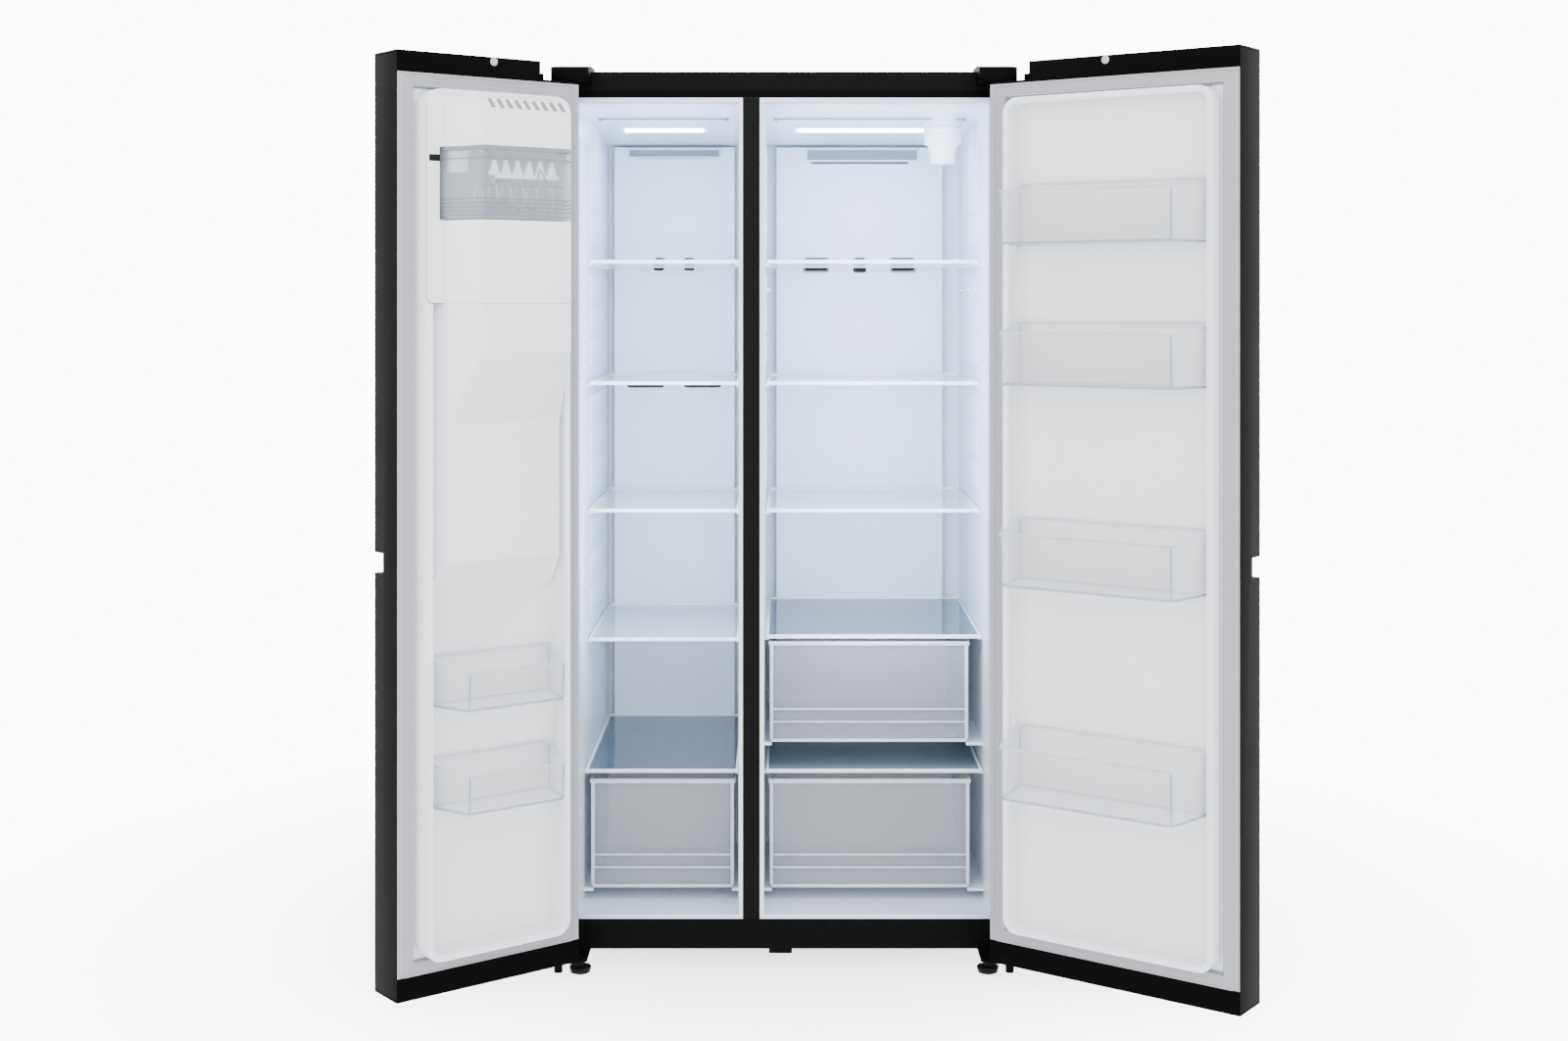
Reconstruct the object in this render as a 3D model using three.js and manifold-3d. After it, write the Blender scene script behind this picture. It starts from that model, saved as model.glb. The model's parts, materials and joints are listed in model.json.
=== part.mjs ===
// A side by side refrigerator with an ice maker in its narrow door, built from the separate pieces
// that it is assembled from. Millimetres, +Z up. The doors' fronts face -Y, +X is the viewer's right,
// and the origin is at the centre of the base plate's underside. Both doors stand open.
import * as THREE from 'three';
import { mergeVertices } from 'three/addons/utils/BufferGeometryUtils.js';
import Module from 'manifold-3d';

const wasm = await Module();
wasm.setup();

// ---- Driving dimensions -------------------------------------------------------------------------

const FIT_GAP = 0.4;             // between pieces that touch
const RUNNING_GAP = 0.8;         // between pieces that slide or turn in each other

// Cabinet
const CASE_WIDTH = 912;
const CASE_DEPTH = 745;
const CASE_HEIGHT = 1741;
const FLOOR_CLEARANCE = 31;
const SHEET = 1;                 // painted steel
const LINER_SHEET = 1.5;         // white vacuum-formed plastic
const SIDE_WALL = 48;
const TOP_WALL = 59.5;
const FLOOR_WALL = 67.5;
const BACK_WALL = 43;
const MULLION = 50;              // insulated wall between the two compartments
const FREEZER_WIDTH = 318;
const CEILING_DROP = 35;         // the ceilings come down towards the back
const LINER_LIP = 8;
const RAIL_THICKNESS = 1.5;
const TAB_X = -30;
const TAB_WIDTH = 46;
const TAB_HEIGHT = 9;
const TAB_DEPTH = 10;
const PAD_SPAN = 300;            // flat lifting pad in the middle of the underside
const PAD_GROOVE = 3;
const PAD_GROOVE_DEPTH = 0.5;

// Machine compartment, behind and below the food compartments
const MACHINE_HEIGHT = 235;
const MACHINE_DEPTH = 230;
const MACHINE_WALL = 45;
const MACHINE_SIDE_WALL = 20;
const GRILLE_SLOTS = 14;
const GRILLE_SLOT_WIDTH = 10;
const GRILLE_SLOT_HEIGHT = 110;
const GRILLE_SLOT_PITCH = 46;
const CORD_GLAND = { x: 345, z: 205, radius: 11, bore: 4 };
const WATER_INLET = { x: -390, z: 205, radius: 13, bore: 5 };
const INLET_PROUD = 4;
const COMPRESSOR_RADIUS = 74;
const COMPRESSOR_HEIGHT = 168;
const COMPRESSOR_X = 270;
const CONDENSER_X = -260;
const CONDENSER_SIZE = [200, 130, 170];
const CONDENSER_FINS = 11;
const FAN_X = -40;
const FAN_RADIUS = 82;
const FAN_HUB = 20;
const FAN_BLADES = 5;
const FAN_THICKNESS = 26;
const EVAPORATOR_SIZE = [240, 22, 260];
const EVAPORATOR_Z = 420;
const EVAPORATOR_FINS = 13;
const FIN_SHEET = 1.2;
const TUBE_SIZE = 7;

// Back panels that carry the cold air ducts
const DUCT_FACE_DEPTH = 664;
const DUCT_THICKNESS = 8;
const FREEZER_DUCT_INSET = [16, 24.5];
const FRIDGE_DUCT_INSET = [23, 42];
const DUCT_END_GAP = 5;

// Doors
const DOOR_THICKNESS = 88;
const DOOR_CASE_GAP = 13;
const DOORS_GAP = 5;
const LEFT_DOOR_WIDTH = 390;
const DOOR_BOTTOM = 4.5;
const DOOR_RISE = 4;             // how far the doors stand above the cabinet
const TOP_CAP_HEIGHT = 39.5;
const BOTTOM_CAP_HEIGHT = 44;
const CAP_LID = 4.5;
const AXIS_INSET = 15;           // hinge axis from the door's side
const AXIS_DEPTH = 50;           // hinge axis from the door's inner face
const LEFT_OPEN_ANGLE = 142;
const RIGHT_OPEN_ANGLE = 143.8;
const HINGE_RECESS_WIDTH = 86;
const HINGE_RECESS_DEPTH = 35;
const RECESS_RAIL = { start: 30, thickness: 8, drop: 13 };  // wall left standing along the outer face
const LINER_PLATE = 3;
const GASKET_WIDTH = 27;
const GASKET_EDGE = 3;
const DIKE_HINGE_INSET = 50;
const DIKE_FREE_INSET = 36;
const DIKE_END_INSET = 32;
const DIKE_WALL = 12;
const DIKE_HEIGHT = { left: 50, right: 38 };
const DIKE_RADIUS = 30;
const GRIP_BOTTOM = 782;
const GRIP_HEIGHT = 38;
const GRIP_DEPTH = 33;

// Hinges, feet and rollers
const PIN_RADIUS = 6;
const HINGE_PLATE = 5;
const HINGE_WIDTH = 67;
const HINGE_SIDE_INSET = 4;
const HINGE_NOSE = 14;
const HINGE_TAIL = 70;
const HINGE_STEP = 13;           // the top hinge's plate steps down in front of the cabinet
const HOOD_MARGIN = 3;
const HOOD_WALL = 2;
const HOOD_SKIRT = 27;           // how far the hood reaches below the cabinet's top
const HOOD_NOSE_RISE = 0.5;
const HOOD_RISE = 11;
const HOOD_TAIL_RISE = 13;
const TOP_PIN_LENGTH = 40;
const BOTTOM_PIN_LENGTH = 24;
const PIN_BOSS = 30;
const BOLT_RADIUS = 9;
const BOLT_HEAD = 20;
const FOOT_RADIUS = 22;
const FOOT_PAD = 12;
const FOOT_STEM = 5;
const FOOT_INSET = 56;           // foot axis from the cabinet's side
const FOOT_FORWARD = 45;         // foot axis in front of the cabinet
const ROLLER_RADIUS = 15;
const ROLLER_WIDTH = 22;
const ROLLER_INSET = 60;
const ROLLER_BACK = 60;
const AXLE_RADIUS = 4;
const LUG_THICKNESS = 3;

// Shelves and covers, at the height of their top face
const SHELF_SETBACK = 170;
const SHELF_BACK_GAP = 6;
const SHELF_SIDE_GAP = 4;
const GLASS = 4;
const TRIM_RISE = 3;
const TRIM_DROP = 6;
const TRIM_DEPTH = 14;
const LEDGE_WIDTH = 9;
const LEDGE_HEIGHT = 5;
const TOP_BAY = 312.5;           // from the highest shelf to the ceiling at the front
const SHELF_SPREAD = [1, 0.758, 0.504, 0.247];  // between the drawer cover and the highest shelf
const FRIDGE_SHELVES = 3;
const LOWER_COVER_SETBACK = 103;
const UPPER_COVER_SETBACK = 126;

// Drawers
const DRAWER_WALL = 2.5;
const DRAWER_SETBACK = 104;
const LOWER_DRAWER_LENGTH = 351;
const UPPER_DRAWER_LENGTH = 440;
const UPPER_DRAWER_SETBACK = 131;
const LOWER_DRAWER_BOTTOM = 91;
const LOWER_DRAWER_HEIGHT = 221;
const UPPER_DRAWER_BOTTOM = 382;
const UPPER_DRAWER_HEIGHT = 206;
const FREEZER_DRAWER_INSET = [12, 9];
const CRISPER_INSET = [8, 27];
const LOWER_COVER_GAP = 18;      // from a drawer's rim to the top of its cover
const UPPER_COVER_GAP = 12;
const RAIL_HEIGHT = 6;
const RAIL_OVERLAP = 7;

// Door baskets, at the height of their undersides
const BASKET_WALL = 2.5;
const BASKET_START = 3;
const BASKET_SIDE_GAP = 2;
const BASKET_EAR = 20;
const BASKET_EAR_DEPTH = 34;
const LEFT_BASKET_RUN = { reach: 115, taper: [32, 32], height: 72, lowest: 355 };
const LEFT_BASKET_PITCH = 187;
const LEFT_BASKET_COUNT = 2;
const RIGHT_BASKET_RUN = { reach: 135, taper: [30, 16], height: 100, lowest: 358 };
const RIGHT_BASKET_SPREAD = [0, 0.384, 0.746, 1];  // between the lowest and the highest basket
const RIGHT_TOP_BAY = 314.5;     // from the highest basket's underside to the top cap
const PEG = 6;
const PEG_DEPTH = 22;

// Ice maker and dispenser, in the left door
const ICE_REACH = 140;
const ICE_TAPER = [42, 51];      // how far each side leans in over the reach
const ICE_SIDE_GAP = 1;
const HOUSING_HEIGHT = 373;
const HOUSING_TOP_GAP = 6.5;
const HOUSING_BEVEL = 22;
const HOUSING_BACK = 22;
const BUCKET_RISE = 151;         // above the housing's underside
const BUCKET_HEIGHT = 133;
const BUCKET_WALL = 3;
const ICE_MAKER_SIZE = [160, 92, 46];
const ICE_MAKER_CELLS = 7;
const ICE_CELL_WALL = 4;
const CHUTE_KNEE_DROP = 91;      // below the housing's underside
const CHUTE_FOOT_DROP = 218;
const CHUTE_REACH = 60;
const CHUTE_BASE_GAP = 129;      // above the upper left basket
const CHUTE_BASE_SLOPE = 64;
const BAY_WIDTH = 200;
const BAY_BOTTOM = 839;
const BAY_HEIGHT = 380;
const BAY_BACK_WALL = 7;
const BAY_WALL = 2.5;
const BEZEL = 8;
const BEZEL_PROUD = 3;
const SPOUT_SIZE = [70, 40, 62];
const LEVER_SIZE = [58, 6, 140];
const LEVER_TOP = 150;           // lever pivot above the bay's floor
const LEVER_BACK = 28;

// Water filter, hanging from the fresh food ceiling
const FILTER_RADIUS = 40;
const FILTER_HEIGHT = 82;
const FILTER_SIDE_INSET = 73;
const FILTER_SETBACK = 260;
const FILTER_HEAD_DROP = 16;

// ---- Places worked out from the driving dimensions -----------------------------------------------

const SIDE = CASE_WIDTH / 2;
const FRONT = -CASE_DEPTH / 2;
const BACK = CASE_DEPTH / 2;
const CAVITY_BACK = BACK - BACK_WALL;
const CAVITY_TOP = CASE_HEIGHT - TOP_WALL;
const STEP_FRONT = BACK - MACHINE_DEPTH - MACHINE_WALL;
const STEP_TOP = MACHINE_HEIGHT + MACHINE_WALL;
const FREEZER = { left: -SIDE + SIDE_WALL, right: -SIDE + SIDE_WALL + FREEZER_WIDTH };
const FRIDGE = { left: FREEZER.right + MULLION, right: SIDE - SIDE_WALL };
const FOAM_FRONT = FRONT + LINER_SHEET + FIT_GAP;
const FOAM_BACK = BACK - SHEET - FIT_GAP;
const RAIL_TOP = FLOOR_WALL - LINER_LIP - FIT_GAP;
const FLANGE_BOTTOM = CAVITY_TOP + LINER_LIP + FIT_GAP;
const SHELF_BACK = FRONT + DUCT_FACE_DEPTH - SHELF_BACK_GAP;
const LOWER_COVER_TOP = LOWER_DRAWER_BOTTOM + LOWER_DRAWER_HEIGHT + LOWER_COVER_GAP;
const UPPER_COVER_TOP = UPPER_DRAWER_BOTTOM + UPPER_DRAWER_HEIGHT + UPPER_COVER_GAP;
const SHELF_SPAN = CAVITY_TOP - TOP_BAY - LOWER_COVER_TOP;
const FREEZER_SHELF_TOPS = SHELF_SPREAD.map((share) => LOWER_COVER_TOP + SHELF_SPAN * share);
const FRIDGE_SHELF_TOPS = FREEZER_SHELF_TOPS.slice(0, FRIDGE_SHELVES);
const AXIS_Y = FRONT - DOOR_CASE_GAP - AXIS_DEPTH;
const DOOR_TOP = CASE_HEIGHT + DOOR_RISE;
const RIGHT_DOOR_WIDTH = CASE_WIDTH - LEFT_DOOR_WIDTH - DOORS_GAP;
const PANEL_TOP = DOOR_TOP - TOP_CAP_HEIGHT;
const PANEL_BOTTOM = DOOR_BOTTOM + BOTTOM_CAP_HEIGHT;
const SKIN_TOP = DOOR_TOP - CAP_LID - FIT_GAP;
const SKIN_BOTTOM = DOOR_BOTTOM + CAP_LID + FIT_GAP;
const RECESS_FLOOR = DOOR_TOP - HINGE_RECESS_DEPTH;
const DIKE_INNER_HINGE = DIKE_HINGE_INSET + DIKE_WALL;
const DIKE_INNER_FREE = DIKE_FREE_INSET + DIKE_WALL;
const HOUSING_TOP = PANEL_TOP - DIKE_END_INSET - DIKE_WALL - HOUSING_TOP_GAP;
const HOUSING_BOTTOM = HOUSING_TOP - HOUSING_HEIGHT;
const BUCKET_BOTTOM = HOUSING_BOTTOM + BUCKET_RISE;
const BAY_DEPTH = DOOR_THICKNESS - LINER_PLATE - BAY_BACK_WALL;
const LEFT_BASKETS = {
  ...LEFT_BASKET_RUN,
  bottoms: Array.from({ length: LEFT_BASKET_COUNT }, (_, i) => (
    LEFT_BASKET_RUN.lowest + LEFT_BASKET_PITCH * i)),
};
const RIGHT_BASKET_SPAN = PANEL_TOP - RIGHT_TOP_BAY - RIGHT_BASKET_RUN.lowest;
const RIGHT_BASKETS = {
  ...RIGHT_BASKET_RUN,
  bottoms: RIGHT_BASKET_SPREAD.map((share) => RIGHT_BASKET_RUN.lowest + RIGHT_BASKET_SPAN * share),
};
const CHUTE_BASE = LEFT_BASKETS.bottoms.at(-1) + LEFT_BASKETS.height + CHUTE_BASE_GAP;
const FILTER_X = FRIDGE.right - FILTER_SIDE_INSET;
const FILTER_Y = FRONT + FILTER_SETBACK;
const FILTER_CEILING = CAVITY_TOP - CEILING_DROP * FILTER_SETBACK / (CASE_DEPTH - BACK_WALL);
const FILTER_TOP = FILTER_CEILING - FILTER_HEAD_DROP;

// ---- Solids: three.js geometry, joined and cut ----------------------------------------------------

const SMOOTH = 20;               // sides of small round pieces
const OVERLAP = 1;               // how far a joined or cutting solid runs into the other

function solid(geometry) {
  const bare = geometry.clone();
  bare.deleteAttribute('normal');
  bare.deleteAttribute('uv');
  const merged = mergeVertices(bare, 1e-4);
  return new wasm.Manifold(new wasm.Mesh({
    numProp: 3,
    vertProperties: new Float32Array(merged.attributes.position.array),
    triVerts: new Uint32Array(merged.index.array),
  }));
}

function block(x0, x1, y0, y1, z0, z1) {
  const geometry = new THREE.BoxGeometry(x1 - x0, y1 - y0, z1 - z0);
  return solid(geometry.translate((x0 + x1) / 2, (y0 + y1) / 2, (z0 + z1) / 2));
}

function shapeOf(points) {
  return new THREE.Shape(points.map(([x, y]) => new THREE.Vector2(x, y)));
}

function roundedRectangle(x0, x1, y0, y1, radius) {
  const shape = new THREE.Shape();
  shape.absarc(x1 - radius, y0 + radius, radius, -Math.PI / 2, 0);
  shape.absarc(x1 - radius, y1 - radius, radius, 0, Math.PI / 2);
  shape.absarc(x0 + radius, y1 - radius, radius, Math.PI / 2, Math.PI);
  shape.absarc(x0 + radius, y0 + radius, radius, Math.PI, Math.PI * 1.5);
  return shape;
}

function extruded(shape, depth, segments = 5) {
  return new THREE.ExtrudeGeometry(shape, { depth, bevelEnabled: false, curveSegments: segments });
}

// A plan outline, raised from z0 to z1.
function raised(shape, z0, z1) {
  return solid(extruded(shape, z1 - z0).translate(0, 0, z0));
}

// An outline of (y, z) points, drawn out along X.
function alongX(shape, x0, x1) {
  const turn = new THREE.Matrix4().makeBasis(
    new THREE.Vector3(0, 1, 0), new THREE.Vector3(0, 0, 1), new THREE.Vector3(1, 0, 0));
  return solid(extruded(shape, x1 - x0).applyMatrix4(turn).translate(x0, 0, 0));
}

// An outline of (x, z) points, drawn out along Y.
function alongY(shape, y0, y1) {
  return solid(extruded(shape, y1 - y0).rotateX(Math.PI / 2).translate(0, y1, 0));
}

function frontToBack(x, z, y0, y1, radius, sides = SMOOTH) {
  const geometry = new THREE.CylinderGeometry(radius, radius, y1 - y0, sides);
  return solid(geometry.translate(x, (y0 + y1) / 2, z));
}

function upright(x, y, z0, z1, radius, topRadius = radius, sides = SMOOTH) {
  const geometry = new THREE.CylinderGeometry(topRadius, radius, z1 - z0, sides);
  return solid(geometry.rotateX(Math.PI / 2).translate(x, y, (z0 + z1) / 2));
}

function crosswise(x0, x1, y, z, radius, sides = SMOOTH) {
  const geometry = new THREE.CylinderGeometry(radius, radius, x1 - x0, sides);
  return solid(geometry.rotateZ(Math.PI / 2).translate((x0 + x1) / 2, y, z));
}

function turned(profile, x, y, z, sides = SMOOTH) {
  const points = profile.map(([radius, height]) => new THREE.Vector2(radius, height));
  return solid(new THREE.LatheGeometry(points, sides).rotateX(Math.PI / 2).translate(x, y, z));
}

function joined(pieces) {
  return pieces.reduce((whole, piece) => whole.add(piece));
}

function cut(whole, pieces) {
  return pieces.reduce((rest, piece) => rest.subtract(piece), whole);
}

function geometryOf(manifold, mirrored) {
  const { vertProperties, triVerts } = manifold.getMesh();
  const geometry = new THREE.BufferGeometry();
  geometry.setAttribute('position', new THREE.BufferAttribute(vertProperties.slice(), 3));
  geometry.setIndex(new THREE.BufferAttribute(triVerts.slice(), 1));
  if (mirrored) {
    geometry.scale(-1, 1, 1);
    const index = geometry.index.array;
    for (let i = 0; i < index.length; i += 3) {
      [index[i], index[i + 1]] = [index[i + 1], index[i]];
    }
  }
  geometry.computeVertexNormals();
  return geometry;
}

function finish(color, roughness, metalness = 0) {
  return new THREE.MeshStandardMaterial({ color, roughness, metalness });
}

const FINISHES = {
  blackSteel: () => finish(0x242426, 0.42, 0.35),
  blackPlastic: () => finish(0x0c0c0d, 0.5),
  whiteLiner: () => finish(0xe9eef4, 0.35),
  foam: () => finish(0xd8c47a, 0.95),
  grayRubber: () => finish(0xb9bbc0, 0.7),
  clearPlastic: () => finish(0xdfeaf2, 0.12),
  shelfGlass: () => finish(0xd5e6ee, 0.06),
  coverGlass: () => finish(0x75828f, 0.1),
  zinc: () => finish(0xa9abad, 0.4, 0.9),
  aluminium: () => finish(0xc4c7ca, 0.4, 0.9),
  copper: () => finish(0xb06a3c, 0.35, 0.9),
};

function part(parent, name, piece, look, mirrored = false) {
  const mesh = new THREE.Mesh(geometryOf(piece, mirrored), FINISHES[look]());
  mesh.name = name;
  parent.add(mesh);
}

// ---- Cabinet --------------------------------------------------------------------------------------

// The wrapper is one folded sheet over the sides and the top, with its front edges turned in.
function cabinetShell() {
  const wrapper = cut(block(-SIDE, SIDE, FRONT, BACK, 0, CASE_HEIGHT), [
    block(-SIDE + SHEET, SIDE - SHEET, FRONT - OVERLAP, BACK + OVERLAP, -OVERLAP, CASE_HEIGHT - SHEET),
  ]);
  const flange = cut(block(-SIDE, SIDE, FRONT, FRONT + SHEET, 0, CASE_HEIGHT), [
    block(FREEZER.left - LINER_LIP - FIT_GAP, FRIDGE.right + LINER_LIP + FIT_GAP,
      FRONT - OVERLAP, FRONT + SHEET + OVERLAP, -OVERLAP, FLANGE_BOTTOM),
  ]);
  return wrapper.add(flange);
}

function backPanel() {
  const edge = SIDE - SHEET - FIT_GAP;
  return block(-edge, edge, BACK - SHEET, BACK, MACHINE_HEIGHT + FIT_GAP, CASE_HEIGHT - SHEET - FIT_GAP);
}

// The base plate closes the cabinet below, and its front edge stands up as the bottom rail.
function basePlate() {
  const railEnd = FREEZER.left - LINER_LIP;
  const edge = SIDE - SHEET - FIT_GAP;
  const lowTail = FRONT + SHEET + FIT_GAP;
  const plate = block(-edge, edge, lowTail, BACK - SHEET - FIT_GAP, 0, RAIL_THICKNESS);
  const rail = block(railEnd, -railEnd, FRONT, FRONT + RAIL_THICKNESS, 0, RAIL_TOP);
  const sill = block(railEnd, -railEnd, FRONT, lowTail + OVERLAP, 0, RAIL_THICKNESS);
  const tab = block(TAB_X, TAB_X + TAB_WIDTH, FRONT, FRONT + TAB_DEPTH, -TAB_HEIGHT, OVERLAP);
  const lugs = [-1, 1].flatMap((side) => rollerLugs(side));
  return joined([plate, rail, sill, tab, ...lugs]).subtract(padGroove());
}

// A shallow pressed groove sets off the flat square where a trolley or a stand bears.
function padGroove() {
  const inner = PAD_SPAN / 2;
  const outer = inner + PAD_GROOVE;
  const ring = block(-outer, outer, -outer, outer, -OVERLAP, PAD_GROOVE_DEPTH);
  return ring.subtract(block(-inner, inner, -inner, inner, -OVERLAP * 2, PAD_GROOVE_DEPTH * 2));
}

// Two lugs under the plate hold each end of the rear axle.
function rollerLugs(side) {
  const middle = side * (SIDE - ROLLER_INSET);
  const reach = ROLLER_WIDTH / 2 + RUNNING_GAP;
  const y = BACK - ROLLER_BACK;
  const z = ROLLER_RADIUS - FLOOR_CLEARANCE;
  const half = ROLLER_RADIUS - LUG_THICKNESS;
  const hole = crosswise(middle - reach * 2, middle + reach * 2, y, z, AXLE_RADIUS + RUNNING_GAP);
  return [middle - reach - LUG_THICKNESS, middle + reach].map((x) => (
    block(x, x + LUG_THICKNESS, y - half, y + half, z - half, OVERLAP).subtract(hole)));
}

// A compartment's outline seen from the side: level floor, step over the machinery, falling ceiling.
function cavityOutline(grow, frontY) {
  return shapeOf([
    [frontY, FLOOR_WALL - grow],
    [STEP_FRONT + grow, FLOOR_WALL - grow],
    [STEP_FRONT + grow, STEP_TOP - grow],
    [CAVITY_BACK + grow, STEP_TOP - grow],
    [CAVITY_BACK + grow, CAVITY_TOP - CEILING_DROP + grow],
    [frontY, CAVITY_TOP + grow],
  ]);
}

function cavity(space, grow, frontY) {
  return alongX(cavityOutline(grow, frontY), space.left - grow, space.right + grow);
}

function cabinetFoam() {
  const edge = SIDE - SHEET - FIT_GAP;
  const bottom = RAIL_THICKNESS + FIT_GAP;
  const whole = block(-edge, edge, FOAM_FRONT, FOAM_BACK, bottom, CASE_HEIGHT - SHEET - FIT_GAP);
  return cut(whole, [
    cavity(FREEZER, LINER_SHEET + FIT_GAP, FRONT - OVERLAP),
    cavity(FRIDGE, LINER_SHEET + FIT_GAP, FRONT - OVERLAP),
    block(-SIDE + MACHINE_SIDE_WALL, SIDE - MACHINE_SIDE_WALL, BACK - MACHINE_DEPTH, BACK,
      0, MACHINE_HEIGHT),
  ]);
}

function ledge(x0, x1, frontY, backY, top, height) {
  return block(x0, x1, frontY, backY, top - height, top);
}

// Ledges on both side walls, under a shelf or a cover whose top face is at the given height.
function shelfLedges(space, top, frontY) {
  const under = top - GLASS - FIT_GAP;
  const start = frontY + TRIM_DEPTH + RUNNING_GAP;
  return [
    ledge(space.left - OVERLAP, space.left + LEDGE_WIDTH, start, SHELF_BACK, under, LEDGE_HEIGHT),
    ledge(space.right - LEDGE_WIDTH, space.right + OVERLAP, start, SHELF_BACK, under, LEDGE_HEIGHT),
  ];
}

// Rails on both side walls that carry a drawer.
function drawerRails(space, inset, frontY, length, bottom) {
  const top = bottom - FIT_GAP;
  const reach = inset.map((gap) => gap + RAIL_OVERLAP);
  return [
    ledge(space.left - OVERLAP, space.left + reach[0], frontY, frontY + length, top, RAIL_HEIGHT),
    ledge(space.right - reach[1], space.right + OVERLAP, frontY, frontY + length, top, RAIL_HEIGHT),
  ];
}

function liner(space, fittings) {
  const lip = block(space.left - LINER_LIP, space.right + LINER_LIP, FRONT, FRONT + LINER_SHEET,
    FLOOR_WALL - LINER_LIP, CAVITY_TOP + LINER_LIP);
  const shell = cavity(space, LINER_SHEET, FRONT).add(lip).subtract(cavity(space, 0, FRONT - OVERLAP));
  return joined([shell, ...fittings]);
}

function freezerLiner() {
  return liner(FREEZER, [
    ...FREEZER_SHELF_TOPS.flatMap((top) => shelfLedges(FREEZER, top, FRONT + SHELF_SETBACK)),
    ...shelfLedges(FREEZER, LOWER_COVER_TOP, FRONT + LOWER_COVER_SETBACK),
    ...drawerRails(FREEZER, FREEZER_DRAWER_INSET, FRONT + DRAWER_SETBACK, LOWER_DRAWER_LENGTH,
      LOWER_DRAWER_BOTTOM),
  ]);
}

function fridgeLiner() {
  const head = upright(FILTER_X, FILTER_Y, FILTER_TOP + FIT_GAP, CAVITY_TOP, FILTER_RADIUS)
    .intersect(cavity(FRIDGE, LINER_SHEET / 2, FRONT));
  return liner(FRIDGE, [
    ...FRIDGE_SHELF_TOPS.flatMap((top) => shelfLedges(FRIDGE, top, FRONT + SHELF_SETBACK)),
    ...shelfLedges(FRIDGE, UPPER_COVER_TOP, FRONT + UPPER_COVER_SETBACK),
    ...shelfLedges(FRIDGE, LOWER_COVER_TOP, FRONT + LOWER_COVER_SETBACK),
    ...drawerRails(FRIDGE, CRISPER_INSET, FRONT + DRAWER_SETBACK, LOWER_DRAWER_LENGTH,
      LOWER_DRAWER_BOTTOM),
    ...drawerRails(FRIDGE, CRISPER_INSET, FRONT + UPPER_DRAWER_SETBACK, UPPER_DRAWER_LENGTH,
      UPPER_DRAWER_BOTTOM),
    head,
  ]);
}

function mullionCover() {
  return block(FREEZER.right + LINER_LIP + FIT_GAP, FRIDGE.left - LINER_LIP - FIT_GAP,
    FRONT, FRONT + RAIL_THICKNESS, RAIL_TOP + FIT_GAP, FLANGE_BOTTOM - FIT_GAP);
}

// A duct panel stands in front of the back wall, and air comes out of its slots.
function ductPanel(space, inset, slots) {
  const left = space.left + inset[0];
  const right = space.right - inset[1];
  const front = FRONT + DUCT_FACE_DEPTH;
  const top = CAVITY_TOP - CEILING_DROP - DUCT_END_GAP;
  const panel = block(left, right, front, front + DUCT_THICKNESS, STEP_TOP + DUCT_END_GAP, top);
  const width = right - left;
  return cut(panel, slots.map(([middle, length, below, height]) => (
    block(left + width * middle - length / 2, left + width * middle + length / 2,
      front - OVERLAP, front + DUCT_THICKNESS + OVERLAP, top - below - height, top - below))));
}

// Each slot: its middle as a share of the panel's width, its length, how far below the panel's top
// its upper edge is, and its height.
const FREEZER_SLOTS = [[0.5, 180, 8, 18], [0.38, 20, 254, 8], [0.62, 20, 254, 8],
  [0.27, 80, 522, 6], [0.73, 80, 522, 6]];
const FRIDGE_SLOTS = [[0.5, 225, 8, 30], [0.24, 54, 254, 8], [0.5, 25, 254, 8], [0.76, 54, 254, 8]];

// ---- Cooling machinery ----------------------------------------------------------------------------

// The compressor's welded shell, on its mounting plate.
function compressor() {
  const y = BACK - MACHINE_DEPTH / 2;
  const floor = RAIL_THICKNESS + FIT_GAP;
  const foot = 4;
  const r = COMPRESSOR_RADIUS;
  const h = COMPRESSOR_HEIGHT;
  const shell = turned([[0, 0], [r * 0.7, 0], [r * 0.95, h * 0.12], [r, h * 0.3], [r, h * 0.68],
    [r * 0.92, h * 0.86], [r * 0.6, h * 0.97], [0, h]], COMPRESSOR_X, y, floor + foot - OVERLAP);
  const plate = block(COMPRESSOR_X - r, COMPRESSOR_X + r, y - r * 1.1, y + r * 1.1, floor, floor + foot);
  const pipe = upright(COMPRESSOR_X + r * 0.4, y, floor + h * 0.8, floor + h + 30, TUBE_SIZE / 2, TUBE_SIZE / 2, 8);
  return joined([shell, plate, pipe]);
}

// A finned coil: upright plates on level tubes.
function finnedCoil(x, y, z, size, fins) {
  const [width, depth, height] = size;
  const left = x - width / 2;
  const pitch = (width - FIN_SHEET) / (fins - 1);
  const plates = Array.from({ length: fins }, (_, i) => (
    block(left + pitch * i, left + pitch * i + FIN_SHEET, y - depth / 2, y + depth / 2, z, z + height)));
  const rows = [0.2, 0.5, 0.8].map((share) => z + height * share);
  const half = TUBE_SIZE / 2;
  const tubes = rows.map((level) => block(left, left + width, y - half, y + half, level - half, level + half));
  return joined([...plates, ...tubes]);
}

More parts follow.
